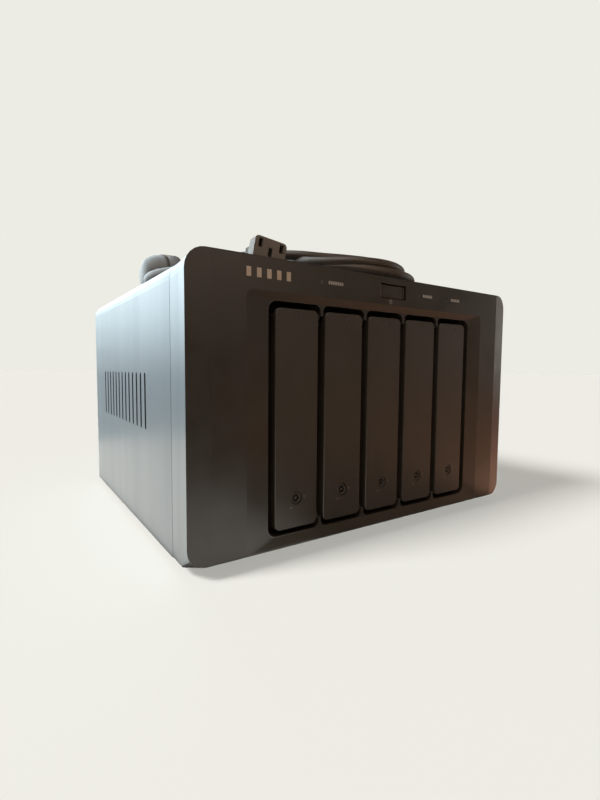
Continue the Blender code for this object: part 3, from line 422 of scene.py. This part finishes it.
def lock_details(k):
    """The turning key barrel, its ring-shaped keyway lined with a black ring of painted shade, its cam, and
    the marks beside it.
    """
    spot = middle(f"tray_lock_{k}")
    centre = (spot.x, FRONT_Y, spot.z)
    bm = bmesh.new()
    profile = (
        (1.5, 0.65),
        (1.7, 0.85),
        (3.4, 0.9),
        (3.4, 1.9),
        (1.6, 2.0),
        (1.45, 2.15),
        (1.4, 3.1),
        (1.6, 3.35),
        (9.2, 3.35),
    )
    add_lathe(bm, centre, [(along * MM, radius * MM) for along, radius in profile], "Y", 28)
    barrel = make_piece(f"lock_barrel_{k}", bm, "lock", f"lock_{k}")
    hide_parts(f"tray_lock_{k}")
    # Painted shade: a black ring fills the keyway recess where shade would fall inside the barrel.
    bm = bmesh.new()
    add_ring(bm, (spot.x, FRONT_Y + 3.0 * MM, spot.z), 1.42 * MM, 0.44 * MM, "Y", 24, 6)
    make_piece(f"lock_keyway_shade_{k}", bm, "dark", f"lock_{k}")
    bm = bmesh.new()
    cam_y = FRONT_Y + 9.9 * MM
    add_box(bm, (spot.x, cam_y, spot.z - 3 * MM), (4.2 * MM, 1.2 * MM, 10 * MM), round_edges=0.4 * MM)
    add_rod(bm, (spot.x, cam_y, spot.z), 3.1 * MM, 1.6 * MM)
    make_piece(f"lock_cam_{k}", bm, "screw", f"lock_{k}")
    face = FRONT_Y + 0.98 * MM
    bm = bmesh.new()
    add_box(bm, (spot.x - 3.6 * MM, face, spot.z - 4.9 * MM), (1.1 * MM, 0.05 * MM, 1.0 * MM))
    add_box(bm, (spot.x - 1.9 * MM, face, spot.z - 4.9 * MM), (0.9 * MM, 0.05 * MM, 0.3 * MM))
    add_box(bm, (spot.x + 4.9 * MM, face, spot.z + 0.4 * MM), (0.9 * MM, 0.05 * MM, 1.0 * MM))
    make_piece(f"lock_marks_{k}", bm, "faint", f"handle_{k}")


def handle_details(k):
    """Stiffening ribs and latch hooks inside the handle."""
    low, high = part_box(f"tray_handle_{k}")
    x = (low.x + high.x) / 2
    bm = bmesh.new()
    for z in (48, 62, 76, 90, 104, 117):
        add_box(bm, (x, FRONT_Y + 5.4 * MM, z * MM), (23.4 * MM, 4.8 * MM, 1.2 * MM))
    for hand in (-1, 1):
        add_box(bm, (x + hand * 4 * MM, FRONT_Y + 5 * MM, 82.5 * MM), (1.2 * MM, 4.0 * MM, 69 * MM))
        add_box(
            bm,
            (x + hand * 9 * MM, FRONT_Y + 9.8 * MM, low.z + 2.2 * MM),
            (3.4 * MM, 3.6 * MM, 2 * MM),
            round_edges=0.4 * MM,
        )
    make_piece(f"handle_ribs_{k}", bm, "handle", f"handle_{k}")


def sled_details(k):
    """Disk screws in soft washers, leaf springs, and air slots drawn as flat black patches of painted shade
    on a tray.
    """
    low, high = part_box(f"tray_{k}")
    x = middle(f"tray_handle_{k}").x
    left = low.x
    bm = bmesh.new()
    washers = bmesh.new()
    for back in (31, 149):
        for z in (34, 117):
            spot = (left, FRONT_Y + back * MM, z * MM)
            add_rod(washers, spot, 4.4 * MM, 0.5 * MM, "X")
            add_lathe(
                bm,
                (left - 0.4 * MM, spot[1], spot[2]),
                [(0, 2.1 * MM), (0.15 * MM, 2.7 * MM), (0.5 * MM, 2.9 * MM)],
                "X",
                20,
            )
    make_piece(f"sled_washers_{k}", washers, "rubber", f"tray_{k}")
    make_piece(f"sled_screws_{k}", bm, "screw", f"tray_{k}")
    bm = bmesh.new()
    for back in (45, 120):
        for step in range(8):
            rise = math.sin(math.pi * (step + 0.5) / 8) * 1.5 * MM
            add_box(
                bm,
                (x, FRONT_Y + (back + 2.5 * step) * MM, high.z + 0.2 * MM + rise),
                (5 * MM, 3.0 * MM, 0.4 * MM),
                (11 * (3.5 - step) / 3.5, 0, 0),
            )
    make_piece(f"sled_springs_{k}", bm, "pin", f"tray_{k}")
    # Painted shade: the air slots are thin black sheets where the shade inside real slots would be.
    bm = bmesh.new()
    for z in range(46, 118, 8):
        for hand in (-1, 1):
            add_box(
                bm,
                (x + hand * 5.4 * MM, FRONT_Y + 12.49 * MM, z * MM),
                (7.6 * MM, 0.06 * MM, 3.2 * MM),
            )
    make_piece(f"sled_slot_shade_{k}", bm, "dark", f"tray_{k}")


# Rear and inner details


def add_blades(bm, centre, hub, tip, count, deep, lean):
    """Curved fan blades between a hub and a tip radius. lean is each one's twist in degrees."""
    for blade in range(count):
        base = 360 * blade / count
        skins = []
        for side in (-1, 1):
            grid = []
            for i in range(6):
                part = i / 5
                radius = hub + (tip - hub) * part
                row = []
                for j in range(6):
                    along = j / 5 - 0.5
                    sweep = 14 * part * part
                    skin = side * 0.9 * (1 - 0.5 * part)
                    angle = math.radians(base + lean * along + sweep + skin)
                    back = deep * along * (1 - 0.12 * part)
                    across, up = radius * math.cos(angle), radius * math.sin(angle)
                    row.append(bm.verts.new((centre.x + across, centre.y + back, centre.z + up)))
                grid.append(row)
            skins.append(grid)
        first, second = skins
        for i in range(5):
            for j in range(5):
                for grid in skins:
                    bm.faces.new((grid[i][j], grid[i + 1][j], grid[i + 1][j + 1], grid[i][j + 1]))
        for i in range(5):
            bm.faces.new((first[i][0], first[i + 1][0], second[i + 1][0], second[i][0]))
            bm.faces.new((first[i][5], first[i + 1][5], second[i + 1][5], second[i][5]))
            bm.faces.new((first[5][i], first[5][i + 1], second[5][i + 1], second[5][i]))
            bm.faces.new((first[0][i], first[0][i + 1], second[0][i + 1], second[0][i]))


def rotor(name, node, body, hub, tip, count, lean):
    """A fan's hub and blades in place of its CAD node."""
    low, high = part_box(node)
    centre = (low + high) / 2
    deep = high.y - low.y
    bm = bmesh.new()
    half = deep / 2
    profile = (
        (-half, hub * 0.86),
        (-half + 0.5 * MM, hub * 0.97),
        (-half + 1.4 * MM, hub),
        (half - 1.4 * MM, hub),
        (half - 0.4 * MM, hub * 0.96),
        (half, hub * 0.86),
        (half - 0.25 * MM, hub * 0.8),
        (half - 0.25 * MM, hub * 0.3),
    )
    add_lathe(bm, centre, profile, "Y", 36)
    add_blades(bm, centre, hub * 0.97, tip, count, deep * 0.86, lean)
    piece = make_piece(name, bm, "fan", body)
    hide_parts(node)


def wire_guard(side):
    """Rings of wire on four spokes that end in screw eyes."""
    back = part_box(f"fan_guard_{side}")[1].y
    centre = middle(f"fan_guard_{side}")
    wire = 0.75 * MM
    inner, reach, eye_reach = 7 * MM, 47 * MM, 50.3 * MM
    bm = bmesh.new()
    for radius in (8, 15.5, 23, 30.5, 37.2):
        add_ring(bm, (centre.x, back - wire, centre.z), radius * MM, wire, "Y", 48, 8)
    for quarter in range(4):
        angle = math.radians(45 + 90 * quarter)
        place = matrix_of((centre.x, back - 2.0 * wire, centre.z), (0, -math.degrees(angle), 0))
        made = bmesh.ops.create_cone(
            bm, cap_ends=True, segments=8, radius1=wire, radius2=wire, depth=reach - inner
        )
        turn = matrix_of(((reach + inner) / 2, 0, 0), (0, 90, 0))
        bmesh.ops.transform(bm, matrix=place @ turn, verts=made["verts"])
        across, up = eye_reach * math.cos(angle), eye_reach * math.sin(angle)
        add_ring(bm, (centre.x + across, back - 1.6 * wire, centre.z + up), 3.3 * MM, wire, "Y", 20, 8)
    piece = make_piece(f"wire_guard_{side}", bm, "guard", "case")
    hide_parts(f"fan_guard_{side}")


def add_screw(bm, marks, spot, radius, rise):
    """A domed screw head on the rear, with its cross drawn on another mesh as black bars of painted shade.
    """
    dome = ((0, 1), (0.5, 0.94), (0.85, 0.7), (1, 0.35))
    add_lathe(bm, spot, [(rise * along, radius * share) for along, share in dome], "Y", 20)
    for turn in (20, 110):
        add_box(
            marks,
            (spot[0], spot[1] + rise * 0.93, spot[2]),
            (radius * 1.05, rise * 0.3, radius * 0.24),
            (0, turn, 0),
        )


def rear_details():
    """Screws, a rating label with plain lines for words, and the metal in the inlet and the port."""
    bm, marks = bmesh.new(), bmesh.new()
    fan_hole = 35.6 * MM
    for side in SIDES:
        centre = middle(f"fan_frame_{side}")
        for x in (-fan_hole, fan_hole):
            for z in (-fan_hole, fan_hole):
                add_screw(bm, marks, (centre.x + x, REAR_Y, centre.z + z), 3.0 * MM, 1.2 * MM)
    edge_screws = [(x, z) for x in (-116, 116) for z in (20, 80, 138)]
    for x, z in (*edge_screws, (-40, 147), (40, 147)):
        add_screw(bm, marks, (x * MM, REAR_Y, z * MM), 2.8 * MM, 1.1 * MM)
    inlet = middle("ac_inlet")
    for x in (84.4, 117.6):
        for z in (46, 88):
            add_screw(bm, marks, (x * MM, REAR_Y, z * MM), 2.2 * MM, 1.0 * MM)
    make_piece("rear_screws", bm, "black_screw", "case")
    # Painted shade: black bars stand where the recessed crosses of the heads would be dark.
    make_piece("rear_screw_cross_shade", marks, "dark", "case")
    bm = bmesh.new()
    add_box(bm, (0, REAR_Y + 0.06 * MM, 133 * MM), (64 * MM, 0.14 * MM, 18 * MM))
    make_piece("rating_label", bm, "label", "case")
    bm = bmesh.new()
    for i, wide in enumerate((44, 52, 38, 48)):
        add_box(
            bm,
            ((-29 + wide / 2) * MM, REAR_Y + 0.16 * MM, (138.5 - 3.6 * i) * MM),
            (wide * MM, 0.06 * MM, 0.9 * MM),
        )
    make_piece("rating_lines", bm, "chip", "case")
    bm = bmesh.new()
    for x, z in ((-7, -2), (7, -2), (0, 2)):
        add_box(
            bm,
            (inlet.x + x * MM, REAR_Y - 8 * MM, inlet.z + z * MM),
            (2 * MM, 13 * MM, 4 * MM),
            round_edges=0.4 * MM,
        )
    make_piece("inlet_pins", bm, "pin", "case")
    port = middle("data_port")
    bm = bmesh.new()
    for i in range(7):
        add_box(
            bm,
            (port.x + 0.75 * MM, REAR_Y - 2.5 * MM, port.z + (i - 3) * 1.27 * MM),
            (0.25 * MM, 5 * MM, 0.6 * MM),
        )
    make_piece("port_contacts", bm, "brass", "case")


def board_details():
    """Parts on the controller and behind the disk sockets."""
    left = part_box("controller_board")[0].x
    chips, cans, sockets = bmesh.new(), bmesh.new(), bmesh.new()
    for back, z, wide in ((150, 92, 20), (150, 60, 14), (182, 100, 12), (188, 70, 16), (205, 110, 9)):
        add_box(
            chips,
            (left - 0.9 * MM, FRONT_Y + back * MM, z * MM),
            (1.8 * MM, wide * MM, wide * MM),
            round_edges=0.3 * MM,
        )
    for back, z in ((132, 40), (141, 40), (132, 50), (170, 42), (180, 42), (170, 116)):
        add_lathe(
            cans,
            (left - 9.4 * MM, FRONT_Y + back * MM, z * MM),
            [(0, 2.6 * MM), (0.5 * MM, 3.1 * MM), (9.4 * MM, 3.1 * MM)],
            "X",
            20,
        )
    for back, z in ((128, 108), (128, 84), (210, 82)):
        add_box(
            sockets,
            (left - 3.2 * MM, FRONT_Y + back * MM, z * MM),
            (6.4 * MM, 8 * MM, 18 * MM),
            round_edges=0.4 * MM,
        )
    make_piece("board_chips", chips, "chip", "case")
    make_piece("board_cans", cans, "can", "case")
    make_piece("board_sockets", sockets, "label", "case")
    bm = bmesh.new()
    for k in BAYS:
        spot_low, spot_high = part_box(f"drive_socket_{k}")
        for i in range(11):
            z = spot_low.z + (4 + 2.6 * i) * MM
            add_box(
                bm,
                ((spot_low.x + spot_high.x) / 2 + 0.85 * MM, spot_low.y + 2.6 * MM, z),
                (0.3 * MM, 4 * MM, 1.1 * MM),
            )
    make_piece("socket_contacts", bm, "brass", "case")


def base_details():
    """Screws, a blank label and the feet's rims underneath."""
    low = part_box("base_pan")[0]
    bm, marks = bmesh.new(), bmesh.new()
    for x, back in ((-112, 34), (112, 34), (-112, 222), (112, 222), (0, 40), (0, 215)):
        spot = (x * MM, FRONT_Y + back * MM, low.z - 1.0 * MM)
        add_lathe(bm, spot, [(0, 1.2 * MM), (0.3 * MM, 2.3 * MM), (1.1 * MM, 3 * MM)], "Z", 20)
        # Painted shade: black bars stand where the recessed crosses of the screw heads would be dark.
        for turn in (0, 90):
            add_box(marks, spot, (2.6 * MM, 0.5 * MM, 0.12 * MM), (0, 0, turn))
    make_piece("base_screws", bm, "screw", "case")
    make_piece("base_screw_cross_shade", marks, "dark", "case")
    bm = bmesh.new()
    add_box(bm, (0, FRONT_Y + 125 * MM, low.z - 0.08 * MM), (70 * MM, 42 * MM, 0.14 * MM))
    make_piece("base_label", bm, "label", "case")
    bm = bmesh.new()
    for end in ("front", "rear"):
        for side in SIDES:
            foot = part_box(f"foot_{end}_{side}")
            centre = (foot[0] + foot[1]) / 2
            add_ring(bm, (centre.x, centre.y, 0.55 * MM), 5.2 * MM, 0.5 * MM, "Z", 28, 6)
            add_rod(bm, (centre.x, centre.y, foot[1].z + 0.1 * MM), 10.2 * MM, 0.3 * MM, "Z", 32)
    make_piece("foot_rims", bm, "rubber", "case")


# Mains lead


def smooth_route(points, spacing):
    """Points about spacing apart on a Catmull-Rom curve through the given ones."""
    points = [Vector(p) for p in points]
    padded = [2 * points[0] - points[1], *points, 2 * points[-1] - points[-2]]
    route = [points[0]]
    for a, b, c, d in zip(padded, padded[1:], padded[2:], padded[3:]):
        steps = max(2, round((c - b).length / spacing))
        for i in range(1, steps + 1):
            t = i / steps
            bend = 2 * a - 5 * b + 4 * c - d
            twist = 3 * b - a - 3 * c + d
            route.append(0.5 * (2 * b + (c - a) * t + bend * t**2 + twist * t**3))
    return route


# The connector and the plug lie where part.py puts them.
CONNECTOR_AT = Vector((-58 * MM, -78 * MM, LID + 16 * MM))
CONNECTOR_TURN = -5
CONNECTOR_ROLL = 10
CONNECTOR_HALF = (10.4 * MM, 7 * MM)
CONNECTOR_NOSE = 9 * MM
CONNECTOR_BODY = 26 * MM
CONNECTOR_TAIL = 22 * MM
PLUG_RADIUS = 17.2 * MM
PLUG_AT = Vector((-73 * MM, 46 * MM, LID + PLUG_RADIUS + 0.5 * MM))
PLUG_TILT = 10
PLUG_TAIL = 33 * MM
# Route points in millimetres, from the connector to the coil and from the plug onto the coil.
TO_CONNECTOR = [
    (-53.8, -11.0, 169.4),
    (-60.2, 2.4, 165.0),
    (-72.6, 11.6, 161.4),
    (-88.5, 12.2, 159.0),
    (-102.2, 4.0, 158.9),
    (-110.2, -9.5, 158.9),
    (-111.8, -25.0, 158.9),
    (-107.5, -40.0, 158.9),
    (-98.5, -53.0, 158.9),
    (-85.5, -61.5, 158.9),
    (-70.0, -65.0, 158.9),
    (-54.5, -62.0, 158.9),
    (-36.4, -49.4, 158.9),
]
TO_PLUG = [
    (-90.6, -3.0, 166.0),
    (-87.0, -12.6, 167.2),
    (-79.9, -20.2, 169.6),
    (-70.6, -24.6, 172.9),
    (-61.0, -26.2, 175.9),
    (-52.0, -27.6, 178.8),
    (-43.4, -31.4, 180.1),
    (-36.0, -38.2, 180.1),
    (-29.4, -46.8, 179.5),
    (-20.0, -56.0, 178.5),
]
# Across the top of the coil, on from the last point above to the end of the top turn.
OVER_THE_COIL = [
    (-6.6, -60.6, 178.3),
    (7.5, -65.8, 178.2),
    (21.0, -69.8, 178.0),
    (34.0, -70.8, 178.0),
    (46.0, -66.6, 178.0),
    (54.6, -57.6, 178.0),
    (58.4, -46.0, 178.0),
    (56.8, -34.0, 178.0),
]
# The radii of the wide and the narrow turns, and the directions in which the coil starts and ends.
COIL_OUTER = 41.2 * MM
COIL_INNER = 34.8 * MM
COIL_START = 150
COIL_END = 40
# The centre and the height of each layer of the coil, bottom first.
LAYERS = (
    (Vector((22 * MM, -52 * MM)), 158.7 * MM),
    (Vector((26 * MM, -55 * MM)), 165.0 * MM),
    (Vector((20 * MM, -51 * MM)), 171.4 * MM),
)


def coil_turns():
    """Each turn's centre, height and radius, bottom first. The last one starts a fourth layer."""
    turns = []
    for i, (centre, height) in enumerate(LAYERS):
        pair = (COIL_OUTER, COIL_INNER) if i % 2 == 0 else (COIL_INNER, COIL_OUTER)
        turns += [(centre, height, radius) for radius in pair]
    top, height, radius = turns[-2]
    turns[-1] = (top, height + 2 * CORD_RADIUS, radius)
    return turns


def coil_route():
    """The coil, wound clockwise seen from above. The end of each turn leads over into the next."""
    turns = coil_turns()
    steps = 24
    count = round(steps * (len(turns) - 1 + (COIL_START - COIL_END) / 360))
    route = []
    for i in range(count + 1):
        turn, step = divmod(i, steps)
        before, after = turns[turn], turns[min(turn + 1, len(turns) - 1)]
        ramp = 5 if before[0] == after[0] and before[2] == after[2] else 9
        part = max(0.0, (step - steps + ramp) / ramp)
        part = part * part * (3 - 2 * part)
        centre = before[0].lerp(after[0], part)
        height = before[1] + (after[1] - before[1]) * part
        reach = before[2] + (after[2] - before[2]) * part
        angle = math.radians(COIL_START) - 2 * math.pi * i / steps
        across, back = reach * math.cos(angle), reach * math.sin(angle)
        route.append(Vector((centre.x + across, centre.y + back, height)))
    return route


def connector_place():
    """The connector's placement: its nose at the origin, its tail along +Y."""
    return matrix_of(CONNECTOR_AT, (0, CONNECTOR_ROLL, CONNECTOR_TURN))


def plug_exit():
    """Where the plug's tail starts and which way it points."""
    tilt = math.radians(PLUG_TILT)
    return PLUG_AT + Vector((-18 * MM, 0, 0)), Vector((0, -math.cos(tilt), -math.sin(tilt)))


def cord_route():
    """The whole centreline, from the connector's tail through the coil to the plug's tail."""
    place = connector_place()
    exit_point = place @ Vector((0, CONNECTOR_BODY + CONNECTOR_TAIL, 0))
    heading = (place @ Vector((0, 1, 0))) - place.translation
    root, away = plug_exit()
    end = root + away * PLUG_TAIL
    start = [exit_point, exit_point + heading * 5 * MM]
    start += [Vector(p) * MM for p in TO_CONNECTOR]
    last = [Vector(p) * MM for p in reversed(OVER_THE_COIL)]
    last += [Vector(p) * MM for p in reversed(TO_PLUG)]
    last += [end + away * 6 * MM, end]
    return smooth_route([*start, *coil_route(), *last], 4 * MM)


def add_tail(bm, place, length, thick, thin, grooves):
    """A ribbed strain relief along the Y of a placement, tapering towards the cord."""
    profile = [(0, thick)]
    for i in range(grooves):
        start = length * (0.14 + 0.8 * i / grooves)
        pitch = length * 0.8 / grooves
        radius = thick + (thin - thick) * (start / length)
        profile += [
            (start, radius),
            (start + pitch * 0.12, radius - 0.7 * MM),
            (start + pitch * 0.42, radius - 0.75 * MM),
            (start + pitch * 0.54, radius - 0.15 * MM),
        ]
    profile += [(length * 0.98, thin), (length, thin * 0.9)]
    sides = 24
    rings = []
    for along, radius in profile:
        ring = []
        for i in range(sides):
            angle = 2 * math.pi * i / sides
            point = Vector((radius * math.cos(angle), along, radius * math.sin(angle)))
            ring.append(bm.verts.new(place @ point))
        rings.append(ring)
    skin_rings(bm, rings)


def build_connector():
    """The appliance end: a flat nose with three slots, a waisted grip and a ribbed tail."""
    place = connector_place()
    half_x, half_z = CONNECTOR_HALF
    corners = ((-1, -1), (1, -1), (1, 1), (-1, 1))
    slots = [
        [(x * MM + right * 1.3 * MM, z * MM + up * 2.6 * MM) for right, up in corners]
        for x, z in ((-6.8, 3), (6.8, 3), (0, -1))
    ]
    nose = rounded(half_x, half_z, 2.4 * MM)
    lip = rounded(half_x - 0.5 * MM, half_z - 0.5 * MM, 2.0 * MM)
    bm = bmesh.new()
    holed_plate(bm, [nose, *slots], 0.5 * MM, CONNECTOR_NOSE - 0.4 * MM, place)
    holed_plate(bm, [lip, *slots], 0, 0.52 * MM, place)
    add_loft(
        bm,
        [
            (start, rounded(wide, high, corner))
            for start, wide, high, corner in (
                (CONNECTOR_NOSE - 0.8 * MM, half_x - 0.6 * MM, half_z - 0.4 * MM, 2.4 * MM),
                (CONNECTOR_NOSE + 0.6 * MM, half_x - 1.6 * MM, half_z - 1.0 * MM, 3 * MM),
                (CONNECTOR_NOSE + 6 * MM, half_x - 2.2 * MM, half_z - 1.2 * MM, 3.4 * MM),
                (CONNECTOR_BODY - 6 * MM, half_x - 2.7 * MM, half_z - 1.1 * MM, 4 * MM),
                (CONNECTOR_BODY - 2 * MM, half_x - 3.6 * MM, half_z - 1.5 * MM, 4.4 * MM),
                (CONNECTOR_BODY, half_x - 5.0 * MM, half_z - 2.4 * MM, 4.4 * MM),
            )
        ],
        place,
    )
    for hand in (-1, 1):
        for along in (14.5, 17, 19.5):
            spot = place @ Vector((hand * (half_x - 2.5 * MM), along * MM, 0))
            add_box(bm, spot, (0.9 * MM, 1.1 * MM, 7.5 * MM), (0, CONNECTOR_ROLL, CONNECTOR_TURN))
    overlap = 0.6 * MM
    root = place @ matrix_of((0, CONNECTOR_BODY - overlap, 0))
    add_tail(bm, root, CONNECTOR_TAIL + overlap, 5.4 * MM, 4.2 * MM, 5)
    piece = make_piece("mains_connector", bm, "grip", "case", 40)
    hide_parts("cord_connector")
    return piece


def build_plug():
    """The mains end: an angled round plug lying on its rim, with two pins and earth strips."""
    pin_y = 9.5 * MM
    bm = bmesh.new()
    profile = (
        (0.8, 0.81),
        (1.2, 0.88),
        (0.4, 0.92),
        (0, 0.963),
        (-0.7, 1),
        (-8.8, 1),
        (-9.4, 0.973),
        (-10.2, 0.973),
        (-10.8, 1),
        (-13.0, 1),
        (-14.2, 0.963),
        (-18.5, 0.92),
        (-22.5, 0.81),
        (-25.6, 0.65),
        (-27.0, 0.43),
        (-27.4, 0.16),
    )
    add_lathe(bm, PLUG_AT, [(along * MM, share * PLUG_RADIUS) for along, share in profile], "X", 40)
    place = matrix_of(plug_exit()[0], (180 + PLUG_TILT, 0, 0))
    add_tail(bm, place, PLUG_TAIL, 7.4 * MM, 4.3 * MM, 6)
    for hand in (-1, 1):
        add_lathe(
            bm,
            PLUG_AT + Vector((0, hand * pin_y, 0)),
            [(0.5 * MM, 3.4 * MM), (9.6 * MM, 2.4 * MM), (9.8 * MM, 2.2 * MM)],
            "X",
            20,
        )
    piece = make_piece("plug_body", bm, "plug", "case", 40)
    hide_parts("mains_plug")
    bm = bmesh.new()
    for hand in (-1, 1):
        add_lathe(
            bm,
            PLUG_AT + Vector((0, hand * pin_y, 0)),
            [(9 * MM, 2.35 * MM), (17.6 * MM, 2.35 * MM), (18.6 * MM, 1.9 * MM), (19 * MM, 1.0 * MM)],
            "X",
            20,
        )
        add_box(
            bm,
            PLUG_AT + Vector((-5 * MM, 0, hand * (PLUG_RADIUS - 0.1 * MM))),
            (9 * MM, 4.4 * MM, 0.7 * MM),
            round_edges=0.2 * MM,
        )
    pins = make_piece("plug_pins", bm, "pin", "case")
    return piece, pins


def build_cord():
    """The cord itself, one open spline with the connector and the plug at its ends."""
    route = cord_route()
    curve = bpy.data.curves.new("mains_cord", "CURVE")
    curve.dimensions = "3D"
    curve.bevel_depth = CORD_RADIUS
    curve.bevel_resolution = 5
    curve.use_fill_caps = True
    spline = curve.splines.new("POLY")
    spline.points.add(len(route) - 1)
    for point, place in zip(spline.points, route, strict=True):
        point.co = (*place, 1)
    spline.use_smooth = True
    curve.materials.append(MATERIALS["cord"])
    cord = bpy.data.objects.new("mains_cord", curve)
    bpy.context.scene.collection.objects.link(cord)
    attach(cord, "case")
    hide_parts("cord_coil", "cord_to_connector", "cord_to_plug")


# Studio


def aim_camera():
    """The camera stands to the front left, at two thirds of the height of the lid."""
    place = Vector((-193.0 * MM, FRONT_Y - 193.4 * MM, 102 * MM))
    yaw, pitch, roll = math.radians(34.08), math.radians(-4.06), math.radians(0.44)
    level = Vector((math.sin(yaw), math.cos(yaw), 0))
    side = Vector((math.cos(yaw), -math.sin(yaw), 0))
    up = Vector((0, 0, 1))
    ahead = level * math.cos(pitch) + up * math.sin(pitch)
    above = up * math.cos(pitch) - level * math.sin(pitch)
    right = side * math.cos(roll) + above * math.sin(roll)
    top = above * math.cos(roll) - side * math.sin(roll)
    data = bpy.data.cameras.new("camera")
    data.sensor_width = 36
    data.lens = 19.9305
    data.clip_start = 0.01
    camera = bpy.data.objects.new("camera", data)
    turn = Matrix((right, top, -ahead)).transposed().to_4x4()
    camera.matrix_world = Matrix.Translation(place) @ turn
    bpy.context.scene.collection.objects.link(camera)
    bpy.context.scene.camera = camera


# The backdrop as the camera sees it, and the dim room that lights the object.
PAPER = (0.84, 0.84, 0.775)
ROOM = (0.08, 0.062, 0.05)


def build_world():
    """A plain pale backdrop to the eye, and a dim room to everything it lights."""
    world = bpy.data.worlds.new("studio")
    bpy.context.scene.world = world
    world.use_nodes = True
    nodes = world.node_tree.nodes
    links = world.node_tree.links
    lit = nodes["Background"]
    lit.inputs["Color"].default_value = (*ROOM, 1)
    seen = nodes.new("ShaderNodeBackground")
    seen.inputs["Color"].default_value = (*PAPER, 1)
    path = nodes.new("ShaderNodeLightPath")
    mix = nodes.new("ShaderNodeMixShader")
    links.new(path.outputs["Is Camera Ray"], mix.inputs["Fac"])
    links.new(lit.outputs["Background"], mix.inputs[1])
    links.new(seen.outputs["Background"], mix.inputs[2])
    links.new(mix.outputs["Shader"], nodes["World Output"].inputs["Surface"])


def add_stage(name, low, high, colour, glow=0.0):
    """A matt or glowing block of the studio, from corner to corner."""
    bm = bmesh.new()
    low, high = Vector(low), Vector(high)
    add_box(bm, (low + high) / 2, high - low)
    mesh = bpy.data.meshes.new(name)
    bm.to_mesh(mesh)
    bm.free()
    material = new_material(name, (0, 0, 0) if glow else colour, 0.9, specular=0)
    shader_of(material).inputs["Emission Color"].default_value = (*colour, 1)
    shader_of(material).inputs["Emission Strength"].default_value = glow
    mesh.materials.append(material)
    made = bpy.data.objects.new(name, mesh)
    bpy.context.scene.collection.objects.link(made)
    return made


def add_card(name, low, high, colour, glow):
    """A glowing card that is only seen in the gloss of the case."""
    card = add_stage(name, low, high, colour, glow)
    card.visible_camera = False
    card.visible_diffuse = False
    card.visible_shadow = False


# Heights of the bands of light that the left side mirrors, and how bright each is.
SIDE_BANDS = (
    (0, 0.9),
    (0.098, 1.35),
    (0.128, 1.9),
    (0.155, 2.5),
    (0.185, 3.1),
    (0.215, 3.7),
    (2.5, 0),
)


def build_stage():
    """A pale floor, and the cards that the glossy faces mirror."""
    floor = add_stage("floor", (-12, -12, -0.002), (12, 12, 0), (0.8, 0.8, 0.755))
    floor.visible_glossy = False
    add_card("card_left_floor", (-1.3, -0.2, 0), (-0.126, 0.35, 0.0006), (1.0, 1.0, 0.94), 1.5)
    for (low, glow), (high, _) in zip(SIDE_BANDS, SIDE_BANDS[1:]):
        add_card(f"card_left_{low:.3f}", (-1.3, 0.35, low), (-0.02, 0.36, high), (0.8, 0.94, 1.0), glow)
    add_card("card_front_floor", (-0.34, -0.26, 0), (-0.04, -0.125, 0.0006), (1.0, 0.98, 0.92), 1.5)
    add_card("card_front_high", (-0.4, -1.0, 0.3), (0.5, -0.99, 1.2), (1.0, 0.8, 0.66), 1.15)
    add_card("card_warm_floor", (0.1, -0.85, 0), (0.9, -0.2, 0.0006), (1.0, 0.45, 0.2), 0.6)
    add_card("card_right_low", (0.14, -0.19, 0), (0.34, -0.1, 0.0006), (1.0, 0.52, 0.33), 1.5)
    add_card("card_right_mid", (0.34, -0.28, 0), (1.0, -0.1, 0.0006), (1.0, 0.45, 0.38), 1.1)
    add_card("card_right", (1.0, -0.5, 0.05), (1.01, -0.1, 0.6), (1.0, 0.93, 0.86), 1.5)
    return floor


def add_light(name, kind, strength, colour, floor, floor_only=False):
    """A lamp that lights the floor only, or everything but the floor."""
    data = bpy.data.lights.new(name, kind)
    data.energy = strength
    data.color = colour
    light = bpy.data.objects.new(name, data)
    bpy.context.scene.collection.objects.link(light)
    held = bpy.data.collections.new(f"{name}_floor")
    held.objects.link(floor)
    light.light_linking.receiver_collection = held
    if not floor_only:
        held.collection_objects[0].light_linking.link_state = "EXCLUDE"
    return light


def point_along(light, direction):
    """Turns a lamp so that it shines along a direction."""
    light.rotation_euler = Vector(direction).to_track_quat("-Z", "Y").to_euler()


def build_lights(floor):
    """A soft sun and a fill for the floor, and a soft ceiling and a window for the object."""
    floor_sun = add_light("floor_sun", "SUN", 2.34, (1.0, 1.0, 1.0), floor, True)
    floor_sun.data.angle = math.radians(18)
    point_along(floor_sun, (0.66, -0.1, -0.62))
    floor_fill = add_light("floor_fill", "SUN", 1.51, (1.0, 1.0, 1.0), floor, True)
    floor_fill.data.use_shadow = False
    sky = add_light("ceiling_sun", "SUN", 1.9, (1.0, 0.93, 0.85), floor)
    sky.data.angle = math.radians(70)
    point_along(sky, (0.42, 0.16, -0.9))
    window = add_light("window", "AREA", 4.5, (0.86, 0.96, 1.0), floor)
    window.data.shape = "RECTANGLE"
    window.data.size, window.data.size_y = 0.8, 0.8
    window.location = (-0.66, 0.75, 0.5)
    window.visible_glossy = False
    point_along(window, Vector((-0.2, 0, 0.15)) - window.location)


dress_frame()
dress_bezel()
front_marks()
for bay in BAYS:
    lock_details(bay)
    handle_details(bay)
    sled_details(bay)
for fan_side in SIDES:
    wire_guard(fan_side)
    rotor(f"blades_{fan_side}", f"fan_rotor_{fan_side}", f"rotor_{fan_side}", 15.5 * MM, 36 * MM, 7, 34)
rotor("blades_psu", "psu_fan_rotor", "rotor_psu", 6.4 * MM, 15.6 * MM, 7, 40)
rear_details()
board_details()
base_details()
appliance_end = build_connector()
mains_end, mains_pins = build_plug()
build_cord()
aim_camera()
build_world()
build_lights(build_stage())
bpy.context.scene.view_settings.view_transform = "Standard"
